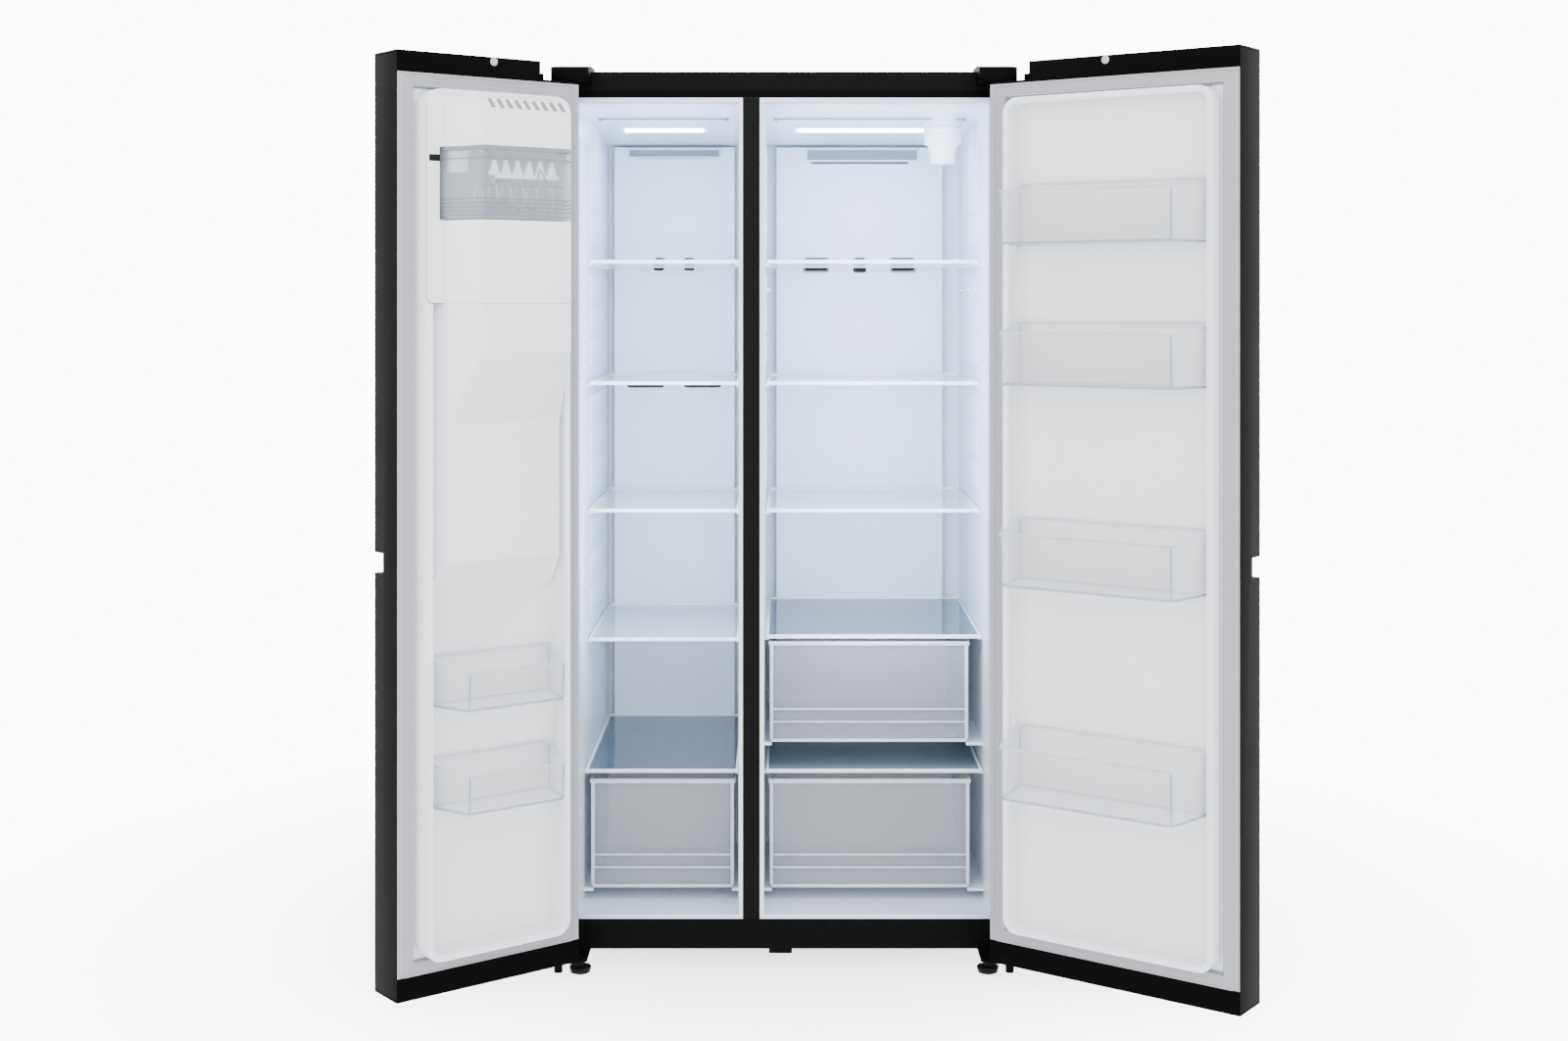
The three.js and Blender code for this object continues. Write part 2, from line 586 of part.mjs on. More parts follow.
function condenserFan() {
  const y = BACK - MACHINE_DEPTH / 2;
  const z = FAN_RADIUS + RAIL_THICKNESS + 25;
  const half = FAN_THICKNESS / 2;
  const hub = crosswise(FAN_X - half, FAN_X + half, y, z, FAN_HUB);
  const blades = Array.from({ length: FAN_BLADES }, (_, i) => {
    const blade = new THREE.BoxGeometry(2, FAN_RADIUS * 0.62, FAN_RADIUS - FAN_HUB + OVERLAP * 3);
    blade.rotateZ(0.5).translate(0, 0, (FAN_RADIUS + FAN_HUB - OVERLAP * 3) / 2);
    return solid(blade.rotateX(Math.PI * 2 * i / FAN_BLADES).translate(FAN_X, y, z));
  });
  const wheel = joined([hub, ...blades]);
  return wheel.intersect(crosswise(FAN_X - FAN_THICKNESS, FAN_X + FAN_THICKNESS, y, z, FAN_RADIUS, 40));
}

// The rear cover has air slots, and the mains lead and the water hose come in through its two glands.
function machineCover() {
  const edge = SIDE - SHEET - FIT_GAP;
  const sheet = block(-edge, edge, BACK - SHEET, BACK, RAIL_THICKNESS + FIT_GAP, MACHINE_HEIGHT - FIT_GAP);
  const inlets = [CORD_GLAND, WATER_INLET];
  const rings = inlets.map(({ x, z, radius }) => (
    frontToBack(x, z, BACK - SHEET, BACK + INLET_PROUD, radius)));
  const bores = inlets.map(({ x, z, bore }) => (
    frontToBack(x, z, BACK - SHEET - OVERLAP, BACK + INLET_PROUD + OVERLAP, bore)));
  const panel = cut(joined([sheet, ...rings]), bores);
  const z = (MACHINE_HEIGHT - GRILLE_SLOT_HEIGHT) / 2;
  const first = -GRILLE_SLOT_PITCH * (GRILLE_SLOTS - 1) / 2;
  return cut(panel, Array.from({ length: GRILLE_SLOTS }, (_, i) => {
    const x = first + GRILLE_SLOT_PITCH * i;
    return block(x - GRILLE_SLOT_WIDTH / 2, x + GRILLE_SLOT_WIDTH / 2, BACK - SHEET - OVERLAP,
      BACK + OVERLAP, z, z + GRILLE_SLOT_HEIGHT);
  }));
}

// ---- Shelves, covers and drawers ------------------------------------------------------------------

// A sheet of glass with a moulded front edge, lying on the liner's ledges.
function shelf(space, top, setback) {
  const left = space.left + SHELF_SIDE_GAP;
  const right = space.right - SHELF_SIDE_GAP;
  const front = FRONT + setback;
  const glass = block(left, right, front, SHELF_BACK, top - GLASS, top);
  const trim = block(left, right, front, front + TRIM_DEPTH, top - GLASS - TRIM_DROP, top + TRIM_RISE);
  return glass.add(trim);
}

function drawer(space, inset, setback, length, bottom, height) {
  const left = space.left + inset[0];
  const right = space.right - inset[1];
  const front = FRONT + setback;
  const wall = DRAWER_WALL;
  return block(left, right, front, front + length, bottom, bottom + height).subtract(
    block(left + wall, right - wall, front + wall, front + length - wall, bottom + wall,
      bottom + height + OVERLAP));
}

// The filter's round cup, with a flat grip below for twisting it out.
function filterCartridge() {
  const z = FILTER_TOP - FILTER_HEIGHT;
  const r = FILTER_RADIUS;
  const cup = turned([[0, 0], [r * 0.62, 0], [r * 0.9, FILTER_HEIGHT * 0.35], [r, FILTER_HEIGHT * 0.62],
    [r, FILTER_HEIGHT], [0, FILTER_HEIGHT]], FILTER_X, FILTER_Y, z);
  const grip = block(FILTER_X - r * 0.6, FILTER_X + r * 0.6, FILTER_Y - 6, FILTER_Y + 6,
    z - 10, z + FILTER_HEIGHT * 0.3);
  return cup.add(grip);
}

// ---- Hinges, feet and rollers ---------------------------------------------------------------------
// Pieces with a left and a right hand are drawn for the left side and mirrored for the right.

const AXIS_X = -SIDE + AXIS_INSET;

// The plan that a hinge and its hood share, rounded off in front of the pin.
function hingePlan(grow) {
  const left = -SIDE + HINGE_SIDE_INSET - grow;
  const right = -SIDE + HINGE_SIDE_INSET + HINGE_WIDTH + grow;
  const front = AXIS_Y - HINGE_NOSE - grow;
  return shapeOf([
    [left, front + HINGE_NOSE / 2],
    [left + HINGE_NOSE / 2, front],
    [right - HINGE_NOSE, front],
    [right, front + HINGE_NOSE],
    [right, FRONT + HINGE_TAIL + grow],
    [left, FRONT + HINGE_TAIL + grow],
  ]);
}

// The top hinge is a stepped plate: screwed to the cabinet's top, lower over the door, with its pin.
function topHinge() {
  const floor = CASE_HEIGHT + FIT_GAP;
  const low = floor - HINGE_STEP;
  const nose = AXIS_Y - HINGE_NOSE - OVERLAP;
  const tail = FRONT + HINGE_TAIL + OVERLAP;
  const riser = FRONT - RUNNING_GAP;
  const side = shapeOf([
    [nose, low], [riser, low], [riser, floor], [tail, floor],
    [tail, floor + HINGE_PLATE], [riser - HINGE_PLATE, floor + HINGE_PLATE],
    [riser - HINGE_PLATE, low + HINGE_PLATE], [nose, low + HINGE_PLATE],
  ]);
  const plate = alongX(side, -SIDE, 0).intersect(raised(hingePlan(0), low - OVERLAP, floor + HINGE_STEP));
  return plate.add(upright(AXIS_X, AXIS_Y, low - TOP_PIN_LENGTH, low + OVERLAP, PIN_RADIUS));
}

// The hood's outline from the side: it rises from its nose to the cabinet's top.
function hoodSide(inset, bottom, caseLine) {
  const nose = AXIS_Y - HINGE_NOSE - HOOD_MARGIN + inset;
  const tail = FRONT + HINGE_TAIL + HOOD_MARGIN - inset;
  return shapeOf([
    [nose, CASE_HEIGHT - HOOD_SKIRT - bottom],
    [nose, CASE_HEIGHT + HOOD_NOSE_RISE - inset],
    [FRONT, CASE_HEIGHT + HOOD_RISE - inset],
    [tail, CASE_HEIGHT + HOOD_TAIL_RISE - inset],
    [tail, CASE_HEIGHT + FIT_GAP - bottom],
    [caseLine, CASE_HEIGHT + FIT_GAP - bottom],
    [caseLine, CASE_HEIGHT - HOOD_SKIRT - bottom],
  ]);
}

// The hinge's plastic hood, hollow and open below, reaches down into the door's recess.
function topHingeCover() {
  const z0 = CASE_HEIGHT - HOOD_SKIRT - OVERLAP;
  const z1 = CASE_HEIGHT + HOOD_TAIL_RISE + OVERLAP;
  const outer = alongX(hoodSide(0, 0, FRONT - RUNNING_GAP), -CASE_WIDTH, 0)
    .intersect(raised(hingePlan(HOOD_MARGIN), z0, z1));
  const hollow = alongX(hoodSide(HOOD_WALL, OVERLAP, FRONT), -CASE_WIDTH, 0)
    .intersect(raised(hingePlan(HOOD_MARGIN - HOOD_WALL), z0 - OVERLAP, z1));
  return outer.subtract(hollow);
}

// The lower hinge's pin is screwed up through its plate, which also carries the levelling foot.
function bottomHinge() {
  const top = -FIT_GAP;
  const plate = raised(hingePlan(0), top - HINGE_PLATE, top);
  const pin = upright(AXIS_X, AXIS_Y, top - OVERLAP, BOTTOM_PIN_LENGTH, PIN_RADIUS);
  const bolt = upright(AXIS_X, AXIS_Y, top - HINGE_PLATE - BOLT_HEAD, top - OVERLAP, BOLT_RADIUS,
    BOLT_RADIUS, 6);
  const stem = upright(-SIDE + FOOT_INSET, FRONT - FOOT_FORWARD, top - HINGE_PLATE - OVERLAP,
    top + OVERLAP, FOOT_STEM + RUNNING_GAP);
  return joined([plate, pin, bolt]).subtract(stem);
}

function foot() {
  const x = -SIDE + FOOT_INSET;
  const y = FRONT - FOOT_FORWARD;
  const pad = upright(x, y, -FLOOR_CLEARANCE, -FLOOR_CLEARANCE + FOOT_PAD, FOOT_RADIUS * 0.86, FOOT_RADIUS, 24);
  return pad.add(upright(x, y, -FLOOR_CLEARANCE + FOOT_PAD - OVERLAP, -RUNNING_GAP, FOOT_STEM));
}

// The rear rollers turn together on one axle.
function rearRollers() {
  const y = BACK - ROLLER_BACK;
  const z = ROLLER_RADIUS - FLOOR_CLEARANCE;
  const middle = SIDE - ROLLER_INSET;
  const end = middle + ROLLER_WIDTH / 2 + LUG_THICKNESS + RUNNING_GAP * 2;
  const wheels = [-middle, middle].map((x) => (
    crosswise(x - ROLLER_WIDTH / 2, x + ROLLER_WIDTH / 2, y, z, ROLLER_RADIUS, 28)));
  return joined([crosswise(-end, end, y, z, AXLE_RADIUS, 12), ...wheels]);
}

// ---- Doors ----------------------------------------------------------------------------------------
// A door is drawn in its own frame: x runs from its hinge side to its free side, y from -thickness at
// its outer face to 0 at its inner face and on into the cabinet, and z as the cabinet's.

function gripGroove(width, grow) {
  return block(-OVERLAP, width + OVERLAP, -DOOR_THICKNESS - OVERLAP, -DOOR_THICKNESS + GRIP_DEPTH + grow,
    GRIP_BOTTOM - grow, GRIP_BOTTOM + GRIP_HEIGHT + grow);
}

function bayBox(width, grow, frontY) {
  const middle = width / 2;
  return block(middle - BAY_WIDTH / 2 - grow, middle + BAY_WIDTH / 2 + grow, frontY,
    -DOOR_THICKNESS + BAY_DEPTH + grow, BAY_BOTTOM - grow, BAY_BOTTOM + BAY_HEIGHT + grow);
}

// The room for the hinge at the top of the door, right through it from face to face.
function recessNotch(width, grow) {
  return block(-OVERLAP, width, -DOOR_THICKNESS - OVERLAP, OVERLAP, RECESS_FLOOR - grow,
    DOOR_TOP + OVERLAP);
}

// The outer sheet wraps the front and both sides, and is folded in to make the grip groove.
function doorSkin(width, hasDispenser) {
  const outer = block(0, width, -DOOR_THICKNESS, 0, SKIN_BOTTOM, SKIN_TOP).subtract(gripGroove(width, 0));
  const hollow = block(SHEET, width - SHEET, -DOOR_THICKNESS + SHEET, OVERLAP,
    SKIN_BOTTOM - OVERLAP, SKIN_TOP + OVERLAP).subtract(gripGroove(width, SHEET));
  const skin = cut(outer, [hollow, recessNotch(HINGE_RECESS_WIDTH + CAP_LID + FIT_GAP, CAP_LID + FIT_GAP)]);
  return hasDispenser ? skin.subtract(bayBox(width, FIT_GAP, -DOOR_THICKNESS - OVERLAP)) : skin;
}

function doorFoam(width, hasDispenser) {
  const edge = SHEET + FIT_GAP;
  const foam = cut(block(edge, width - edge, -DOOR_THICKNESS + edge, -LINER_PLATE - FIT_GAP,
    PANEL_BOTTOM + FIT_GAP, PANEL_TOP - FIT_GAP), [
    gripGroove(width, edge),
    pinBoss(FIT_GAP),
  ]);
  return hasDispenser ? foam.subtract(bayBox(width, FIT_GAP, -DOOR_THICKNESS - OVERLAP)) : foam;
}

function pinBoss(grow) {
  return block(SHEET + FIT_GAP * 2 - grow, PIN_BOSS + grow, -AXIS_DEPTH - PIN_BOSS / 2 - grow,
    -AXIS_DEPTH + PIN_BOSS / 2 + grow, CASE_HEIGHT - HINGE_STEP - TOP_PIN_LENGTH - PIN_BOSS / 2 - grow,
    RECESS_FLOOR);
}

// The top cap has a deep recess at its hinge end, where the hinge reaches over it to its pin.
function topCap(width) {
  const edge = SHEET + FIT_GAP;
  const end = HINGE_RECESS_WIDTH + CAP_LID;
  const plug = block(edge, width - edge, -DOOR_THICKNESS + edge, 0, PANEL_TOP, DOOR_TOP - FIT_GAP);
  const lid = block(0, width, -DOOR_THICKNESS, 0, DOOR_TOP - CAP_LID, DOOR_TOP);
  const recessWall = block(HINGE_RECESS_WIDTH, end, -DOOR_THICKNESS, 0, RECESS_FLOOR - CAP_LID, DOOR_TOP);
  const recessLid = block(0, end, -DOOR_THICKNESS, 0, RECESS_FLOOR - CAP_LID, RECESS_FLOOR);
  const rail = block(RECESS_RAIL.start, end, -DOOR_THICKNESS, -DOOR_THICKNESS + RECESS_RAIL.thickness,
    RECESS_FLOOR - OVERLAP, DOOR_TOP - RECESS_RAIL.drop);
  const pinHole = upright(AXIS_INSET, -AXIS_DEPTH, CASE_HEIGHT - HINGE_STEP - TOP_PIN_LENGTH - PIN_RADIUS,
    DOOR_TOP + OVERLAP, PIN_RADIUS + RUNNING_GAP);
  const cap = cut(joined([plug, lid, recessWall]), [recessNotch(HINGE_RECESS_WIDTH, 0)]);
  return joined([cap, recessLid, rail, pinBoss(0)]).subtract(pinHole);
}

function bottomCap(width) {
  const edge = SHEET + FIT_GAP;
  const plug = block(edge, width - edge, -DOOR_THICKNESS + edge, 0, DOOR_BOTTOM + FIT_GAP, PANEL_BOTTOM);
  const lid = block(0, width, -DOOR_THICKNESS, 0, DOOR_BOTTOM, DOOR_BOTTOM + CAP_LID);
  const pinHole = upright(AXIS_INSET, -AXIS_DEPTH, DOOR_BOTTOM - OVERLAP,
    BOTTOM_PIN_LENGTH + PIN_RADIUS, PIN_RADIUS + RUNNING_GAP);
  return joined([plug, lid]).subtract(pinHole);
}

// The gasket stays clear of the hinge side's corner, which swings closest to the cabinet.
function gasket(width) {
  const z0 = PANEL_BOTTOM + GASKET_EDGE;
  const z1 = PANEL_TOP - GASKET_EDGE;
  const band = GASKET_WIDTH;
  const near = FIT_GAP;
  const far = DOOR_CASE_GAP - FIT_GAP;
  return block(AXIS_INSET, width - GASKET_EDGE, near, far, z0, z1).subtract(
    block(AXIS_INSET + band, width - GASKET_EDGE - band, near - OVERLAP, far + OVERLAP, z0 + band, z1 - band));
}

function dikeOutline(width, grow) {
  return roundedRectangle(DIKE_HINGE_INSET + grow, width - DIKE_FREE_INSET - grow,
    PANEL_BOTTOM + DIKE_END_INSET + grow, PANEL_TOP - DIKE_END_INSET - grow, DIKE_RADIUS - grow);
}

// The inner liner: a flat sheet with a raised dike that fills the compartment's mouth when closed.
function doorLiner(width, dikeHeight, fittings) {
  const edge = SHEET + FIT_GAP;
  const plate = block(edge, width - edge, -LINER_PLATE, 0, PANEL_BOTTOM + FIT_GAP, PANEL_TOP - FIT_GAP);
  const dike = alongY(dikeOutline(width, 0), -OVERLAP, dikeHeight).subtract(
    alongY(dikeOutline(width, DIKE_WALL), 0, dikeHeight + OVERLAP));
  return joined([plate, dike, ...fittings]);
}

// Pegs on the dike's inner sides carry each basket.
function basketPegs(width, baskets) {
  return baskets.bottoms.flatMap((bottom) => {
    const z1 = bottom - FIT_GAP;
    const reach = PEG + BASKET_SIDE_GAP;
    return [
      block(DIKE_INNER_HINGE - OVERLAP, DIKE_INNER_HINGE + reach, -OVERLAP, PEG_DEPTH, z1 - PEG, z1),
      block(width - DIKE_INNER_FREE - reach, width - DIKE_INNER_FREE + OVERLAP, -OVERLAP, PEG_DEPTH,
        z1 - PEG, z1),
    ];
  });
}

// A tray's plan: wide against the door, narrower at its front.
function taperedPlan(width, sideGap, startY, reach, taper, inset) {
  const lean = taper.map((side) => side / reach);
  const y0 = startY + inset;
  const y1 = reach - inset;
  const left = (y) => DIKE_INNER_HINGE + sideGap + lean[0] * y + inset;
  const right = (y) => width - DIKE_INNER_FREE - sideGap - lean[1] * y - inset;
  return shapeOf([[left(y0), y0], [right(y0), y0], [right(y1), y1], [left(y1), y1]]);
}

// A basket stands on its pegs. Its ends rise where they meet the door.
function basket(width, baskets, bottom) {
  const plan = (inset) => (
    taperedPlan(width, BASKET_SIDE_GAP, BASKET_START, baskets.reach, baskets.taper, inset));
  const top = bottom + baskets.height;
  const tall = raised(plan(0), bottom, top + BASKET_EAR);
  const trimmed = tall.subtract(block(0, width, BASKET_EAR_DEPTH, baskets.reach + OVERLAP, top,
    top + BASKET_EAR + OVERLAP));
  return trimmed.subtract(raised(plan(BASKET_WALL), bottom + BASKET_WALL, top + BASKET_EAR + OVERLAP));
}

// ---- Ice maker and dispenser ----------------------------------------------------------------------

function icePlan(width, startY, inset) {
  return taperedPlan(width, ICE_SIDE_GAP, startY, ICE_REACH, ICE_TAPER, inset);
}

// Below the ice housing, the liner bulges to lead the ice down to the dispenser.
function chuteBulge(width) {
  const side = shapeOf([
    [-OVERLAP, CHUTE_BASE],
    [CHUTE_REACH, CHUTE_BASE + CHUTE_BASE_SLOPE],
    [CHUTE_REACH, HOUSING_BOTTOM - CHUTE_FOOT_DROP],
    [ICE_REACH, HOUSING_BOTTOM - CHUTE_KNEE_DROP],
    [ICE_REACH, HOUSING_BOTTOM - FIT_GAP],
    [-OVERLAP, HOUSING_BOTTOM - FIT_GAP],
  ]);
  return alongX(side, 0, width).intersect(
    raised(icePlan(width, -OVERLAP, 0), CHUTE_BASE - OVERLAP, HOUSING_BOTTOM));
}

function iceHousing(width) {
  const side = shapeOf([[FIT_GAP, HOUSING_BOTTOM], [ICE_REACH, HOUSING_BOTTOM],
    [ICE_REACH, HOUSING_TOP - HOUSING_BEVEL], [ICE_REACH - HOUSING_BEVEL, HOUSING_TOP],
    [FIT_GAP, HOUSING_TOP]]);
  const whole = alongX(side, 0, width)
    .intersect(raised(icePlan(width, FIT_GAP, 0), HOUSING_BOTTOM - OVERLAP, HOUSING_TOP + OVERLAP))
    .intersect(alongY(dikeOutline(width, DIKE_WALL + ICE_SIDE_GAP), 0, ICE_REACH + OVERLAP));
  const window = block(0, width, HOUSING_BACK, ICE_REACH + OVERLAP, BUCKET_BOTTOM - RUNNING_GAP,
    BUCKET_BOTTOM + BUCKET_HEIGHT + RUNNING_GAP);
  const [makerWidth, makerDepth, makerHeight] = ICE_MAKER_SIZE;
  const middle = width / 2;
  const room = block(middle - makerWidth / 2 - RUNNING_GAP, middle + makerWidth / 2 + RUNNING_GAP,
    HOUSING_BACK, HOUSING_BACK + makerDepth + RUNNING_GAP * 2,
    BUCKET_BOTTOM + BUCKET_HEIGHT, BUCKET_BOTTOM + BUCKET_HEIGHT + makerHeight + RUNNING_GAP * 3);
  return cut(whole, [window, room]);
}

function iceBucket(width) {
  const start = HOUSING_BACK + RUNNING_GAP;
  return raised(icePlan(width, start, 0), BUCKET_BOTTOM, BUCKET_BOTTOM + BUCKET_HEIGHT).subtract(
    raised(icePlan(width, start, BUCKET_WALL), BUCKET_BOTTOM + BUCKET_WALL,
      BUCKET_BOTTOM + BUCKET_HEIGHT + OVERLAP));
}

// The mould: a metal tray with a row of ice cells, open at the top.
function iceMaker(width) {
  const [makerWidth, makerDepth, makerHeight] = ICE_MAKER_SIZE;
  const left = width / 2 - makerWidth / 2;
  const front = HOUSING_BACK + RUNNING_GAP;
  const z0 = BUCKET_BOTTOM + BUCKET_HEIGHT + RUNNING_GAP * 2;
  const pitch = (makerWidth - ICE_CELL_WALL) / ICE_MAKER_CELLS;
  const cells = Array.from({ length: ICE_MAKER_CELLS }, (_, i) => (
    block(left + ICE_CELL_WALL + pitch * i, left + pitch * (i + 1), front + ICE_CELL_WALL,
      front + makerDepth - ICE_CELL_WALL, z0 + makerHeight / 2, z0 + makerHeight + OVERLAP)));
  return cut(block(left, left + makerWidth, front, front + makerDepth, z0, z0 + makerHeight), cells);
}

// The dispenser bay is set into the door's outer face, with a bezel around its mouth.
function dispenserBay(width) {
  const mouth = -DOOR_THICKNESS - BEZEL_PROUD;
  const bezel = block(width / 2 - BAY_WIDTH / 2 - BEZEL, width / 2 + BAY_WIDTH / 2 + BEZEL, mouth,
    -DOOR_THICKNESS - FIT_GAP, BAY_BOTTOM - BEZEL, BAY_BOTTOM + BAY_HEIGHT + BEZEL);
  const bay = bayBox(width, 0, mouth).add(bezel).subtract(bayBox(width, -BAY_WALL, mouth - OVERLAP));
  const [spoutWidth, spoutDepth, spoutHeight] = SPOUT_SIZE;
  const top = BAY_BOTTOM + BAY_HEIGHT;
  const back = -DOOR_THICKNESS + BAY_DEPTH;
  const spout = block(width / 2 - spoutWidth / 2, width / 2 + spoutWidth / 2, back - spoutDepth, back,
    top - spoutHeight, top);
  return bay.add(spout);
}

function dispenserLever(width) {
  const [leverWidth, leverDepth, leverHeight] = LEVER_SIZE;
  const y = -DOOR_THICKNESS + BAY_DEPTH - LEVER_BACK;
  const top = BAY_BOTTOM + BAY_HEIGHT - SPOUT_SIZE[2] - RUNNING_GAP;
  return block(width / 2 - leverWidth / 2, width / 2 + leverWidth / 2, y, y + leverDepth,
    top - leverHeight, top);
}

// ---- Assembly -------------------------------------------------------------------------------------

// A group turned about the hinge axis, holding the door's own frame.
function doorFrame(root, side, angle) {
  const swing = new THREE.Group();
  swing.position.set(side * AXIS_X * -1, AXIS_Y, 0);
  swing.rotation.z = THREE.MathUtils.degToRad(angle) * side;
  const frame = new THREE.Group();
  frame.position.set(side * AXIS_INSET, AXIS_DEPTH, 0);
  swing.add(frame);
  root.add(swing);
  return frame;
}

function addDoor(root, name, side, angle, width, hasDispenser, baskets, extraFittings) {
  const frame = doorFrame(root, side, angle);
  const add = (piece, solidPiece, look) => part(frame, piece, solidPiece, look, side > 0);
  add(`${name}_door_skin`, doorSkin(width, hasDispenser), 'blackSteel');
  add(`${name}_door_foam`, doorFoam(width, hasDispenser), 'foam');
  const fittings = [...basketPegs(width, baskets), ...extraFittings];
  add(`${name}_door_liner`, doorLiner(width, DIKE_HEIGHT[name], fittings), 'whiteLiner');
  add(`${name}_door_gasket`, gasket(width), 'grayRubber');
  add(`${name}_door_top_cap`, topCap(width), 'blackPlastic');
  add(`${name}_door_bottom_cap`, bottomCap(width), 'blackPlastic');
  baskets.bottoms.forEach((bottom, i) => {
    add(`${name}_basket_${i + 1}`, basket(width, baskets, bottom), 'clearPlastic');
  });
  return add;
}

function addCabinet(root) {
  part(root, 'cabinet_shell', cabinetShell(), 'blackSteel');
  part(root, 'back_panel', backPanel(), 'blackSteel');
  part(root, 'base_plate', basePlate(), 'blackSteel');
  part(root, 'cabinet_foam', cabinetFoam(), 'foam');
  part(root, 'freezer_liner', freezerLiner(), 'whiteLiner');
  part(root, 'fridge_liner', fridgeLiner(), 'whiteLiner');
  part(root, 'mullion_cover', mullionCover(), 'blackSteel');
  part(root, 'freezer_duct_panel', ductPanel(FREEZER, FREEZER_DUCT_INSET, FREEZER_SLOTS), 'whiteLiner');
  part(root, 'fridge_duct_panel', ductPanel(FRIDGE, FRIDGE_DUCT_INSET, FRIDGE_SLOTS), 'whiteLiner');
}

function addMachinery(root) {
  const machineY = BACK - MACHINE_DEPTH / 2;
  const floor = RAIL_THICKNESS + FIT_GAP;
  const ductBack = FRONT + DUCT_FACE_DEPTH + DUCT_THICKNESS;
  const evaporatorX = (FREEZER.left + FREEZER_DUCT_INSET[0] + FREEZER.right - FREEZER_DUCT_INSET[1]) / 2;
  part(root, 'compressor', compressor(), 'blackPlastic');
  part(root, 'condenser', finnedCoil(CONDENSER_X, machineY, floor, CONDENSER_SIZE, CONDENSER_FINS), 'copper');
  part(root, 'condenser_fan', condenserFan(), 'blackPlastic');
  part(root, 'machine_cover', machineCover(), 'zinc');
  part(root, 'evaporator', finnedCoil(evaporatorX, (ductBack + CAVITY_BACK) / 2, EVAPORATOR_Z,
    EVAPORATOR_SIZE, EVAPORATOR_FINS), 'aluminium');
}

function addShelvesAndDrawers(root) {
  FREEZER_SHELF_TOPS.forEach((top, i) => {
    part(root, `freezer_shelf_${i + 1}`, shelf(FREEZER, top, SHELF_SETBACK), 'shelfGlass');
  });
  FRIDGE_SHELF_TOPS.forEach((top, i) => {
    part(root, `fridge_shelf_${i + 1}`, shelf(FRIDGE, top, SHELF_SETBACK), 'shelfGlass');
  });
  part(root, 'freezer_drawer_cover', shelf(FREEZER, LOWER_COVER_TOP, LOWER_COVER_SETBACK), 'coverGlass');
  part(root, 'lower_crisper_cover', shelf(FRIDGE, LOWER_COVER_TOP, LOWER_COVER_SETBACK), 'coverGlass');
  part(root, 'upper_crisper_cover', shelf(FRIDGE, UPPER_COVER_TOP, UPPER_COVER_SETBACK), 'coverGlass');
  part(root, 'freezer_drawer', drawer(FREEZER, FREEZER_DRAWER_INSET, DRAWER_SETBACK,
    LOWER_DRAWER_LENGTH, LOWER_DRAWER_BOTTOM, LOWER_DRAWER_HEIGHT), 'clearPlastic');
  part(root, 'lower_crisper', drawer(FRIDGE, CRISPER_INSET, DRAWER_SETBACK,
    LOWER_DRAWER_LENGTH, LOWER_DRAWER_BOTTOM, LOWER_DRAWER_HEIGHT), 'clearPlastic');
  part(root, 'upper_crisper', drawer(FRIDGE, CRISPER_INSET, UPPER_DRAWER_SETBACK,
    UPPER_DRAWER_LENGTH, UPPER_DRAWER_BOTTOM, UPPER_DRAWER_HEIGHT), 'clearPlastic');
  part(root, 'filter_cartridge', filterCartridge(), 'whiteLiner');
}

function addHingesAndFeet(root) {
  [['left', false], ['right', true]].forEach(([name, mirrored]) => {
    part(root, `top_hinge_${name}`, topHinge(), 'zinc', mirrored);
    part(root, `top_hinge_cover_${name}`, topHingeCover(), 'blackPlastic', mirrored);
    part(root, `bottom_hinge_${name}`, bottomHinge(), 'blackSteel', mirrored);
    part(root, `foot_${name}`, foot(), 'blackPlastic', mirrored);
  });
  part(root, 'rear_rollers', rearRollers(), 'blackPlastic');
}

function addDoors(root) {
  const width = LEFT_DOOR_WIDTH;
  const add = addDoor(root, 'left', -1, LEFT_OPEN_ANGLE, width, true, LEFT_BASKETS, [chuteBulge(width)]);
  add('ice_housing', iceHousing(width), 'whiteLiner');
  add('ice_bucket', iceBucket(width), 'clearPlastic');
  add('ice_maker', iceMaker(width), 'aluminium');
  add('dispenser_bay', dispenserBay(width), 'blackPlastic');
  add('dispenser_lever', dispenserLever(width), 'blackPlastic');
  addDoor(root, 'right', 1, RIGHT_OPEN_ANGLE, RIGHT_DOOR_WIDTH, false, RIGHT_BASKETS, []);
}

const refrigerator = new THREE.Group();
addCabinet(refrigerator);
addMachinery(refrigerator);
addShelvesAndDrawers(refrigerator);
addHingesAndFeet(refrigerator);
addDoors(refrigerator);

export default refrigerator;
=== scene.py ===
# %% [markdown]
# # A side by side refrigerator, from bare solids to finished surfaces
#
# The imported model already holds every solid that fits, slides or swings. What it lacks is
# what a moulder, a press shop and a glazier add: rounded edges, lips, ribs, seals and finishes.
# This lesson keeps every solid whose shape is right and gives it a finish. It rebuilds the
# thin, clear and soft pieces, because faceted solids can't show a moulded rim or a bellows.

# %% Load the solids
import json
import math

import bmesh
import bpy
from mathutils import Matrix, Vector


